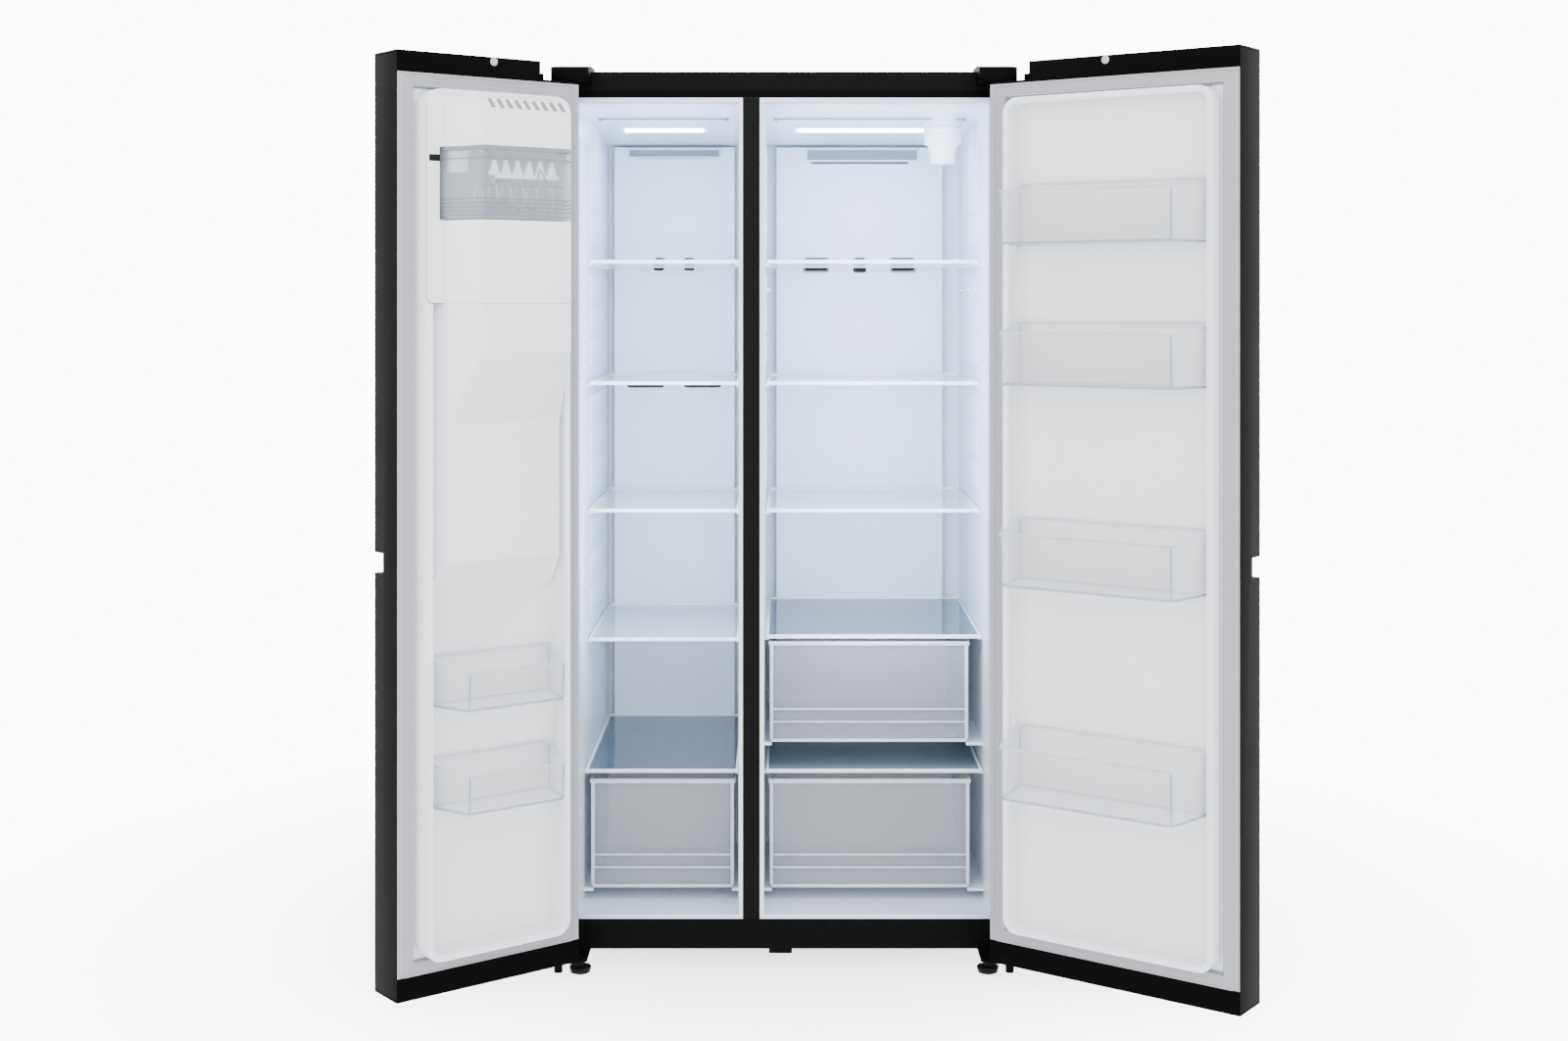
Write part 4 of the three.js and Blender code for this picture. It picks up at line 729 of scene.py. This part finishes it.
# %% Drawers
grip_lines = (0.041, 0.067)      # heights of the two edges of the grip ledge
grip_half = 0.0014
corner_rib = 0.007
front_lean = 0.003       # the tub's front stands this far behind the ribs
tub_wall = 0.0025
top_roll = 0.009
side_roll = 0.004
for name in ("freezer_drawer", "lower_crisper", "upper_crisper"):
    place = cabinet.on(name)
    low, high = place.span(name)
    plan = rectangle(low.x, high.x, low.y + front_lean, high.y)
    tub(Shape(place), plan, low.z, high.z, tub_wall, 0.012, 0.004, 0.003).piece(
        f"{name}_tub", drawer_clear, "clear_plastic", [name])
    trims = Shape(place)
    front = low.y
    for rise in grip_lines:
        trims.bar((low.x + 0.010, front + 0.001, low.z + rise - grip_half),
                  (high.x - 0.010, front + 0.008, low.z + rise + grip_half), 0.0008)
    for x0 in (low.x + 0.003, high.x - 0.003 - corner_rib):
        trims.bar((x0, front, low.z + 0.006), (x0 + corner_rib, front + 0.009, high.z - 0.006), 0.002)
    trims.bar((low.x, front, high.z - top_roll), (high.x, front + 0.012, high.z), 0.003)
    trims.bar((low.x + 0.006, front + 0.001, low.z), (high.x - 0.006, front + 0.010, low.z + 0.006), 0.002)
    for x0 in (low.x, high.x - side_roll):
        trims.bar((x0, front + 0.012, high.z - 0.005), (x0 + side_roll, high.y, high.z), 0.0012)
    trims.piece(f"{name}_ribs", drawer_edge, "clear_plastic")
    print(name, "is", round(high.x - low.x, 3), "m wide")

# %% [markdown]
# ## Door baskets
#
# The baskets hang on pegs inside the liner's raised frame. Seen from above each tapers away
# from the door, more on the free side, and at the hinge end the rim sweeps up into a curved
# ear. The rim and the base carry the brighter finish, because light runs along thick edges.

# %% Baskets
ear_run = 0.045
ear_height = 0.020
basket_radius = 0.016
rail_inset = 0.006
rail_radius = 0.0016


def basket(name, door, taper_hinge, taper_free):
    place = door.on(name)
    low, high = place.span(name)
    rim = high.z - ear_height
    plan = [(low.x, low.y), (high.x, low.y), (high.x - taper_free, high.y), (low.x + taper_hinge, high.y)]

    def ear(x, y):
        near_door = max(0.0, 1 - (y - low.y) / ear_run)
        return ear_height * near_door * near_door * (3 - 2 * near_door)

    tub(Shape(place), plan, low.z, rim, tub_wall, basket_radius, 0.003, 0.002, ear).piece(
        f"{name}_tub", basket_clear, "clear_plastic", [name])
    edges = Shape(place)
    rim_rail = Shape(place)
    top_rail = []
    for inwards, drop in ((0.0, 0.004), (0.0, 0.0005), (0.0028, 0.0), (0.0046, 0.0005), (0.0046, 0.004)):
        ring = rounded(inset(plan, inwards), basket_radius, 6)
        top_rail.append([Vector((x, y, rim - drop + ear(x, y))) for x, y in ring])
    rim_rail.skin(top_rail, looped=True).piece(f"{name}_rim", basket_rim, "clear_plastic")
    base = [(0.0055, low.z), (0.0045, low.z + 0.004), (0.0075, low.z + 0.004), (0.0085, low.z)]
    edges.frame(plan, basket_radius, base, lying)
    corners = ((high.x - rail_inset, high.x - taper_free - rail_inset),
               (low.x + rail_inset, low.x + taper_hinge + rail_inset))
    for x, corner_x in corners:
        outer = [(corner_x, high.y - 0.005, low.z + 0.004), (corner_x, high.y - 0.003, rim - 0.004)]
        inner = [(x, low.y + 0.004, low.z + 0.004), (x, low.y + 0.003, rim + 0.010)]
        edges.rod(outer, rail_radius, 8)
        edges.rod(inner, rail_radius, 8)
    edges.piece(f"{name}_rails", basket_edge, "clear_plastic")


for number in (1, 2):
    basket(f"left_basket_{number}", left_door, 0.032, 0.032)
for number in (1, 2, 3, 4):
    basket(f"right_basket_{number}", right_door, 0.030, 0.016)

# %% [markdown]
# ## Ceiling lamps
#
# Each compartment is lit by a lens in its ceiling, set halfway back, with a dark seam ahead of
# it where the ceiling panel begins. The ceiling falls towards the back, so both pieces follow
# its slope: a height function reads it from the liner's front and from the duct panel's top.

# %% Lamps and ceiling seams
front_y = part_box("freezer_liner")[0].y
ceiling_front = 1.6815
ceiling_drop = 0.035
ceiling_run = 0.702
ceiling_fall = ceiling_drop / ceiling_run
lamp_start = 0.355       # behind the cabinet's front
lamp_end = 0.418
lamp_gap = 0.001
bezel_width = 0.007
seam_start = 0.228
seam_width = 0.007
clip_width = 0.008       # a seam ends in a wider clip on either side
clip_reach = 0.003


def ceiling(y):
    return ceiling_front - (y - front_y) * ceiling_fall


def under_ceiling(shape, x0, x1, y0, y1, thickness, edge):
    """A shallow bar that hangs flush under the sloping ceiling."""
    section = [(y0, ceiling(y0) - thickness), (y1, ceiling(y1) - thickness),
               (y1, ceiling(y1) - 0.0003), (y0, ceiling(y0) - 0.0003)]
    small = inset(section, edge)
    ends = [(small, x0), (section, x0 + edge), (section, x1 - edge), (small, x1)]
    return shape.skin([sideways(rounded(outline, 0.0008, 2), x) for outline, x in ends])


compartments = {"freezer": (-0.408, -0.090), "fridge": (-0.040, 0.408)}
lamp_inset = {"freezer": (0.062, 0.086), "fridge": (0.070, 0.062)}
for room, (x0, x1) in compartments.items():
    near, far = lamp_inset[room]
    y0 = front_y + lamp_start
    y1 = front_y + lamp_end
    under_ceiling(Shape(cabinet), x0 + near, x1 - far, y0, y1, 0.0040, 0.001).piece(
        f"{room}_lamp_lens", lamp_lens, "white_liner")
    bezel = Shape(cabinet)
    reach = lamp_gap + bezel_width
    for start, end in ((y0 - reach, y0 - lamp_gap), (y1 + lamp_gap, y1 + reach)):
        under_ceiling(bezel, x0 + near - reach, x1 - far + reach, start, end, 0.0050, 0.001)
    bezel.piece(f"{room}_lamp_frame", white_liner, "white_liner")
    seam_y = front_y + seam_start
    seam_end = seam_y + seam_width
    left_end = x0 + 0.018
    right_end = x1 - 0.026
    seam = Shape(cabinet)
    under_ceiling(seam, left_end, right_end, seam_y, seam_end, 0.0030, 0.0008)
    for x in (left_end, right_end - clip_width):
        under_ceiling(seam, x, x + clip_width, seam_y - clip_reach, seam_end + clip_reach, 0.0050, 0.001)
    seam.piece(f"{room}_ceiling_seam", vent_gray, "white_liner")
    print(room, "lamp is", round(x1 - far - x0 - near, 3), "m long")

# %% [markdown]
# ## Air vents
#
# Cold air comes out of slots in the duct panels. Each slot has a raised lip and a dark plate
# behind it, painted shade that stands for the hollow duct. The lips stand on the panel's face,
# so their place follows the panel, and they are closed rings with rounded rims.

# %% Vents
panel_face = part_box("freezer_duct_panel")[0].y


def vent(name, x0, x1, z0, z1, finish):
    outline = rectangle(x0, x1, z0, z1)
    lip = [(-0.003, panel_face - 0.0003), (-0.003, panel_face - 0.002), (0, panel_face - 0.003),
           (0.0012, panel_face - 0.0015), (0.0012, panel_face - 0.0003)]
    Shape(cabinet).frame(outline, 0.003, lip).piece(name, finish, "white_liner")
    # The dark plate inside each lip is painted shade, standing for the hollow duct behind the slot.
    back = Shape(cabinet)
    back.panel(inset(outline, 0.0015), 0.002, panel_face - 0.0008, panel_face - 0.0002, 0.0002)
    back.piece(f"{name}_shadow", vent_gray if finish is white_liner else soft_black, "white_liner")


vent("freezer_top_vent", -0.359, -0.149, 1.6200, 1.6370, white_liner)
vent("fridge_top_vent", 0.052, 0.309, 1.6120, 1.6370, white_liner)
for row, z0, z1, slots in (
        ("freezer_small", 1.3605, 1.3680, ((-0.2895, 0.009, soft_black), (-0.2190, 0.009, soft_black))),
        ("fridge_small", 1.3560, 1.3665,
         ((0.074, 0.027, vent_gray), (0.175, 0.012, soft_black), (0.275, 0.027, vent_gray))),
        ("freezer_low", 1.0905, 1.0935, ((-0.320, 0.040, soft_black), (-0.188, 0.040, soft_black)))):
    for number, (x, half, shade) in enumerate(slots, 1):
        vent(f"{row}_vent_{number}", x - half, x + half, z0, z1, shade)

# %% [markdown]
# ## Side walls
#
# The liner's side walls are embossed with a ladder of pads between the shelves, which stiffen
# the sheet, and spare pegs let a shelf be moved. They come from the shelves' own heights.

# %% Embossed pads and spare pegs
pad_front = -0.150
pad_back = 0.235
pad_gap = 0.006
pads = 3
for room, (x0, x1) in compartments.items():
    relief = Shape(cabinet)
    shelves = [name for name in nodes if name.startswith(f"{room}_shelf_")]
    levels = sorted(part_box(name)[1].z for name in shelves) + [ceiling(pad_front) - 0.02]
    for lower, upper in zip(levels, levels[1:]):
        pitch = (upper - lower - 0.05) / pads
        for i in range(pads):
            z0 = lower + 0.025 + pitch * i
            outline = rectangle(pad_front + 0.03, pad_back, z0 + pad_gap, z0 + pitch - pad_gap)
            for wall, sign in ((x0, 1), (x1, -1)):
                rings = []
                for inwards, rise in ((0.0, 0.0002), (0.0004, 0.0012), (0.0030, 0.0018)):
                    ring = rounded(inset(outline, inwards), 0.008 - inwards, 3)
                    rings.append(sideways(ring, wall + sign * rise))
                relief.skin(rings)
    relief.piece(f"{room}_wall_pads", white_liner, "white_liner")
peg_bottom = 1.3085
peg_height = 0.005
peg_length = 0.060
peg_pitch = 0.170
pegs = Shape(cabinet)
for wall, sign in ((compartments["fridge"][0], 1), (compartments["fridge"][1], -1)):
    low_x, high_x = sorted((wall + sign * 0.0003, wall + sign * 0.010))
    for i in range(3):
        y = pad_front + peg_pitch * i
        pegs.bar((low_x, y, peg_bottom), (high_x, y + peg_length, peg_bottom + peg_height), 0.0015)
pegs.piece("fridge_spare_pegs", white_liner, "white_liner")

# %% [markdown]
# ## Water filter
#
# The filter is a cartridge that twists into a head in the ceiling. Its cap has a wide collar,
# a body that narrows downwards and a wing to grip, and it is turned in one go on a lathe
# profile. The wing makes the quarter turn visible.

# %% Filter
low, high = cabinet.span("filter_cartridge")
cap_rise = 0.014         # the cap starts this far above the solid's lowest point
radius = (high.x - low.x) / 2
centre = ((low.x + high.x) / 2, (low.y + high.y) / 2, low.z + cap_rise)
tall = high.z - low.z - cap_rise
cup = Shape(cabinet.on("filter_cartridge"))
cup.turned(centre, (0, 0, 1), [
    (radius * 0.40, 0), (radius * 0.52, 0.002), (radius * 0.60, tall * 0.16), (radius * 0.72, tall * 0.42),
    (radius * 0.78, tall * 0.50), (radius * 0.92, tall * 0.54), (radius * 0.96, tall * 0.57),
    (radius * 0.97, tall * 0.80), (radius * 0.93, tall * 0.83), (radius * 0.93, tall * 0.86),
    (radius * 0.98, tall * 0.90), (radius * 0.98, tall - 0.001), (radius * 0.94, tall)], 48)
cup.bar((centre[0] - radius * 0.62, centre[1] - 0.006, centre[2] + 0.001),
        (centre[0] + radius * 0.62, centre[1] + 0.006, centre[2] + tall * 0.46), 0.003)
cup.piece("filter_cap", ice_white, "white_liner", ["filter_cartridge"])
print("filter is", round(2 * radius, 3), "m across")

# %% [markdown]
# ## Ice housing
#
# The white housing in the freezer door holds the ice maker above a removable bucket. A row of
# rounded vents crosses its chamfered top edge. The bucket's clear front shows its stiffening
# ribs, the wire auger that pushes the ice, the feeler arm that stops the ice maker when the
# bucket is full, and the tapered teeth that keep cubes from bridging.

# %% Ice housing and bucket
low, high = left_door.span("ice_housing")
bucket_low, bucket_high = left_door.span("ice_bucket")
taper_hinge = 0.042
taper_free = 0.051
chamfer = 0.022
vent_pitch = 0.0185
vent_margin = 0.14       # share of the chamfer left plain at each end of a vent
vent_sunk = 0.0012
near_end = chamfer * vent_margin
far_end = chamfer - near_end
vents = Shape(left_door)
for i in range(9):
    u = low.x + taper_hinge + 0.014 + i * vent_pitch
    vents.rod([(u, high.y - far_end, high.z - near_end - vent_sunk),
               (u, high.y - near_end, high.z - far_end - vent_sunk)], 0.0042, 12)
vents.piece("ice_housing_vents", vent_gray, "white_liner")

inner = left_door.on("ice_bucket")
front = bucket_high.y
near_x = bucket_low.x + taper_hinge      # the two ends of the bucket's flat front
far_x = bucket_high.x - taper_free
path = [(bucket_low.x + 0.004, 0.034), (near_x - 0.006, front + 0.0002),
        (far_x + 0.008, front + 0.0002), (bucket_high.x - 0.004, 0.034)]


def along_bucket(height):
    return [(u, v, height) for u, v in path]


# A grey sheet just inside the bucket's back wall, behind the auger and the teeth: painted shade that darkens the
# inside of the bucket.
Shape(inner).bar(
    (bucket_low.x + 0.012, bucket_low.y + 0.008, bucket_low.z + 0.006),
    (bucket_high.x - 0.012, bucket_low.y + 0.011, bucket_high.z - 0.006), 0.001).piece(
        "ice_bucket_painted_shade", vent_gray, "clear_plastic")
rib_pitch = 0.0075
ribs = Shape(inner)
for i in range(5):
    ribs.rod(along_bucket(bucket_low.z + 0.008 + i * rib_pitch), 0.0009, 8)
ribs.piece("ice_bucket_ribs", vent_gray, "clear_plastic")
rim = Shape(inner)
rim.rod(along_bucket(bucket_high.z - 0.004), 0.0030)
rim.rod(along_bucket(bucket_high.z - 0.022), 0.0012, 8)
for u in (near_x + 0.004, far_x - 0.016):
    rim.bar((u, front - 0.004, bucket_high.z - 0.018),
            (u + 0.010, front + 0.0005, bucket_high.z - 0.008), 0.0015)
rim.piece("ice_bucket_rim", vent_gray, "clear_plastic")
teeth = Shape(inner)
tooth_pitch = 0.024
tooth_back = front - 0.014
tooth_front = front - 0.006
tooth_foot = bucket_high.z - 0.052
tooth_tip = bucket_high.z - 0.024
for i in range(6):
    u = near_x + 0.030 + tooth_pitch * i
    outline = [(u - 0.011, tooth_foot), (u + 0.011, tooth_foot),
               (u + 0.002, tooth_tip), (u - 0.002, tooth_tip)]
    teeth.panel(outline, 0.0015, tooth_back, tooth_front, 0.0015)
teeth.bar((near_x + 0.015, tooth_back, tooth_foot - 0.006),
          (far_x - 0.020, tooth_front, tooth_foot + 0.002), 0.002)
teeth.piece("ice_bucket_teeth", ice_white, "white_liner")
wire = []
turns = 5
steps = 90
auger_radius = 0.030
auger_depth = 0.080
auger_height = bucket_low.z + 0.052
wire_start = near_x + 0.020
wire_end = far_x - 0.010
for i in range(steps + 1):
    angle = 2 * math.pi * turns * i / steps
    wire.append((wire_start + (wire_end - wire_start) * i / steps,
                 auger_depth + auger_radius * math.cos(angle), auger_height + auger_radius * math.sin(angle)))
Shape(inner).rod(wire, 0.0022, 8).piece("ice_bucket_auger", zinc, "zinc")
Shape(inner).bar((0.278, 0.040, bucket_high.z - 0.046), (0.311, 0.066, bucket_high.z - 0.003), 0.003).piece(
    "ice_bucket_coupling_cover", ice_white, "white_liner")
clips = Shape(inner)
for u in (0.276, near_x + 0.006):
    clips.bar((u, front - 0.010, bucket_high.z - 0.012),
              (u + 0.006, front - 0.004, bucket_high.z - 0.002), 0.001)
clips.piece("ice_bucket_clips", soft_black, "black_plastic")
arm_height = bucket_low.z + 0.062
hump = arm_height + 0.030
step = arm_height + 0.008
arm_line = [(wire_start - 0.012, arm_height), (wire_start + 0.020, arm_height + 0.001),
            (wire_start + 0.034, hump), (wire_start + 0.038, hump + 0.001),
            (wire_start + 0.044, arm_height), (wire_end - 0.040, arm_height),
            (wire_end - 0.034, step), (wire_end - 0.014, step),
            (wire_end - 0.009, arm_height), (wire_end + 0.006, arm_height)]
arm = standing(arm_line, front - 0.005)
Shape(inner).rod(arm, 0.0013, 8).piece("ice_bucket_arm", soft_black, "zinc")

# %% [markdown]
# The housing's free side laps over the liner's raised frame, so that no gap shows between
# them. The lap is a thin plate with a rounded lower corner, a fine grey line marks the joint
# round the housing, and a dark latch that locks the bucket slides on the lap.

# %% Lap and latch
frame_crown = 0.050
lap_edge = 0.3565
body_edge = 0.3215
window_edge = 0.3310
corner_run = 0.012       # how far a rounded corner reaches along each side
corner_cut = 0.0035
lap_top = high.z + 0.008
under_body = high.z - 0.004
lap_start = low.x + 0.012
lap_outline = [(body_edge, low.z), (lap_edge - corner_run, low.z),
               (lap_edge - corner_cut, low.z + corner_cut), (lap_edge, low.z + corner_run),
               (lap_edge, lap_top - corner_run), (lap_edge - corner_cut, lap_top - corner_cut),
               (lap_edge - corner_run, lap_top), (lap_start, lap_top),
               (lap_start, under_body), (body_edge, under_body),
               (body_edge, bucket_high.z), (window_edge, bucket_high.z),
               (window_edge, bucket_low.z), (body_edge, bucket_low.z)]
lap_back = frame_crown + 0.0010
lap_front = frame_crown + 0.0045
lap = Shape(left_door).panel(lap_outline, 0.002, lap_back, lap_front, 0.0012)
lap.piece("ice_housing_lap", ice_white, "white_liner")
below = low.z - 0.0004
proud = high.y - 0.0004
joint_line = Shape(left_door)
joint_line.rod([(lap_edge + 0.0004, lap_back, lap_top - 0.014),
                (lap_edge + 0.0004, lap_back, low.z + corner_run),
                (lap_edge - 0.0031, lap_back, low.z + 0.0030), (lap_edge - corner_run, lap_back, below),
                (body_edge, lap_back, below), (high.x - taper_free, proud, below),
                (low.x + taper_hinge, proud, below)], 0.0006, 8)
joint_line.piece("ice_housing_seam", vent_gray, "white_liner")
Shape(left_door).bar(
    (window_edge + 0.001, lap_front + 0.0001, bucket_high.z - 0.026),
    (lap_edge - 0.003, lap_front + 0.0025, bucket_high.z - 0.014), 0.001).piece(
        "ice_bucket_latch", soft_black, "black_plastic")
print("bucket front is", round(bucket_high.z - bucket_low.z, 3), "m tall")

# %% [markdown]
# ## Dispenser
#
# On the outside of the freezer door, ice and water come out over a small drip tray. A dark
# glass control strip sits above the bay, with plain touch spots and no lettering, and the tray
# has a slotted grille.

# %% Dispenser front
low, high = left_door.span("dispenser_bay")
control = Shape(left_door)
strip = rectangle(low.x + 0.012, high.x - 0.012, high.z - 0.094, high.z - 0.012)
control.panel(strip, 0.006, low.y + 0.0005, low.y + 0.0030, 0.0008)
control.piece("dispenser_control_glass", control_black, "black_plastic")
spots = Shape(left_door)
spot_profile = [(0.0055, -0.0002), (0.0055, 0.0002), (0.0048, 0.0004)]
for i in range(5):
    u = low.x + 0.040 + (high.x - low.x - 0.080) * i / 4
    spots.turned((u, low.y + 0.0006, high.z - 0.053), (0, -1, 0), spot_profile, 24)
spots.piece("dispenser_touch_spots", vent_gray, "black_plastic")
grille = Shape(left_door)
slats = 11
slat_height = low.z + 0.0125
slat_depth = 0.004
for i in range(slats):
    u = low.x + 0.022 + (high.x - low.x - 0.044) * i / (slats - 1)
    grille.bar((u - 0.0025, low.y + 0.010, slat_height),
               (u + 0.0025, low.y + 0.060, slat_height + slat_depth), 0.001)
for v in (low.y + 0.008, low.y + 0.034, low.y + 0.060):
    grille.bar((low.x + 0.016, v, slat_height - 0.001),
               (high.x - 0.016, v + 0.004, slat_height + slat_depth - 0.001), 0.001)
grille.piece("dispenser_drip_grille", soft_black, "black_plastic")

# %% [markdown]
# ## Small things on the doors and the back
#
# A grey plug closes the wiring hole near the top of each door's inner face. A row of domed
# screws holds the back panel along its top and bottom edges.

# %% Plugs and screws
plug_from_top = 0.0087
plug_profile = [(0.0078, 0), (0.0078, 0.0010), (0.0066, 0.0018),
                (0.0052, 0.0019), (0.0046, 0.0012), (0.0012, 0.0014)]
plug_inset = {"left": 0.188, "right": 0.249}
for side, place in doors.items():
    u = plug_inset[side]
    top = place.span(f"{side}_door_top_cap")[1].z
    plug = Shape(place).turned((u, 0.0002, top - plug_from_top), (0, 1, 0), plug_profile)
    plug.piece(f"{side}_door_plug", plug_gray, "gray_rubber")

head = 0.0040            # radius of a screw head
head_profile = [(head, 0), (head, head * 0.18), (head * 0.82, head * 0.42),
                (head * 0.40, head * 0.56), (head * 0.12, head * 0.50)]
screws = Shape(cabinet)
back_low, back_high = cabinet.span("back_panel")
across = 7
side_margin = 0.016
edge_margin = 0.014
for i in range(across):
    x = back_low.x + side_margin + (back_high.x - back_low.x - 2 * side_margin) * i / (across - 1)
    for z in (back_low.z + edge_margin, back_high.z - edge_margin):
        screws.turned((x, back_high.y + 0.0001, z), (0, 1, 0), head_profile, 20)
screws.piece("back_screws", zinc, "zinc")

# %% [markdown]
# ## Floor and light
#
# A white sweep and big soft lamps are how appliances are shot: nothing in the surroundings
# competes with the black paint, and the edges still catch a long highlight. The floor is a
# pale disc with a very faint mottling that fades out into the white sweep, which is enough to
# carry a soft contact shadow. The sweep glows brighter to the eye than it lights the cabinet,
# as a backdrop with lamps of its own does. A tall cool panel just inside each opening shines
# backwards into the compartment. It fills in what the small ceiling lamps leave dim.

# %% Studio
floor_radius = 3.0
surround_light = 2.7
backdrop_glow = 12.0
floor_level = min(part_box("foot_left")[0].z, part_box("rear_rollers")[0].z)

pale_floor = Finish("pale_floor", {"Roughness": 0.85, "Specular IOR Level": 0.1})
pale_floor.feed({"Base Color": pale_floor.mix(pale_floor.noise(3), gray(0.93), gray(0.95))})
reach = pale_floor.add("ShaderNodeVectorMath", {"operation": "LENGTH"}, {0: pale_floor.place}, output="Value")
fade = pale_floor.add("ShaderNodeMapRange", {"interpolation_type": "SMOOTHSTEP"},
                      {"Value": reach, "From Min": 0.3, "From Max": 1.9, "To Min": 0.8, "To Max": 0.0})
pale_floor.feed({"Alpha": fade})
floor_mesh = bmesh.new()
bmesh.ops.create_circle(floor_mesh, cap_ends=True, segments=96, radius=floor_radius)
floor_data = bpy.data.meshes.new("floor")
floor_mesh.to_mesh(floor_data)
floor_mesh.free()
floor_data.materials.append(pale_floor.material)
floor = placed("floor", floor_data)
floor.location.z = floor_level

world = bpy.data.worlds.new("studio")
world.use_nodes = True
sky = world.node_tree
background = sky.nodes["Background"]
background.inputs["Color"].default_value = gray(1.0)
rays = sky.nodes.new("ShaderNodeLightPath")
brightness = sky.nodes.new("ShaderNodeMapRange")
brightness.inputs["To Min"].default_value = surround_light
brightness.inputs["To Max"].default_value = backdrop_glow
sky.links.new(rays.outputs["Is Camera Ray"], brightness.inputs["Value"])
sky.links.new(brightness.outputs[0], background.inputs["Strength"])
bpy.context.scene.world = world


def softbox(name, place, aim, width, height, watts):
    light = bpy.data.lights.new(name, "AREA")
    light.shape = "RECTANGLE"
    light.size = width
    light.size_y = height
    light.energy = watts
    lamp = placed(name, light)
    lamp.location = place
    lamp.rotation_euler = (Vector(aim) - Vector(place)).to_track_quat("-Z", "Y").to_euler()
    return lamp


middle = (0, 0, 0.9)
softbox("front_softbox", (0, -5.5, 2.6), middle, 4.0, 2.6, 90)
softbox("left_softbox", (-4.2, -2.6, 1.8), middle, 1.6, 2.8, 30)
softbox("right_softbox", (4.2, -2.6, 1.8), middle, 1.6, 2.8, 14)
cool = (0.74, 0.87, 1.0)
fill_height = 1.05
fill_centre = 1.12
watts_per_metre = 20.0
for room, (x0, x1) in compartments.items():
    width = x1 - x0
    centre_x = (x0 + x1) / 2
    start = (centre_x, front_y + 0.012, fill_centre)
    aim = (centre_x, 0, fill_centre)
    fill = softbox(f"{room}_fill", start, aim, width * 0.8, fill_height, watts_per_metre * width)
    fill.data.color = cool
print("floor at", round(floor_level, 3))
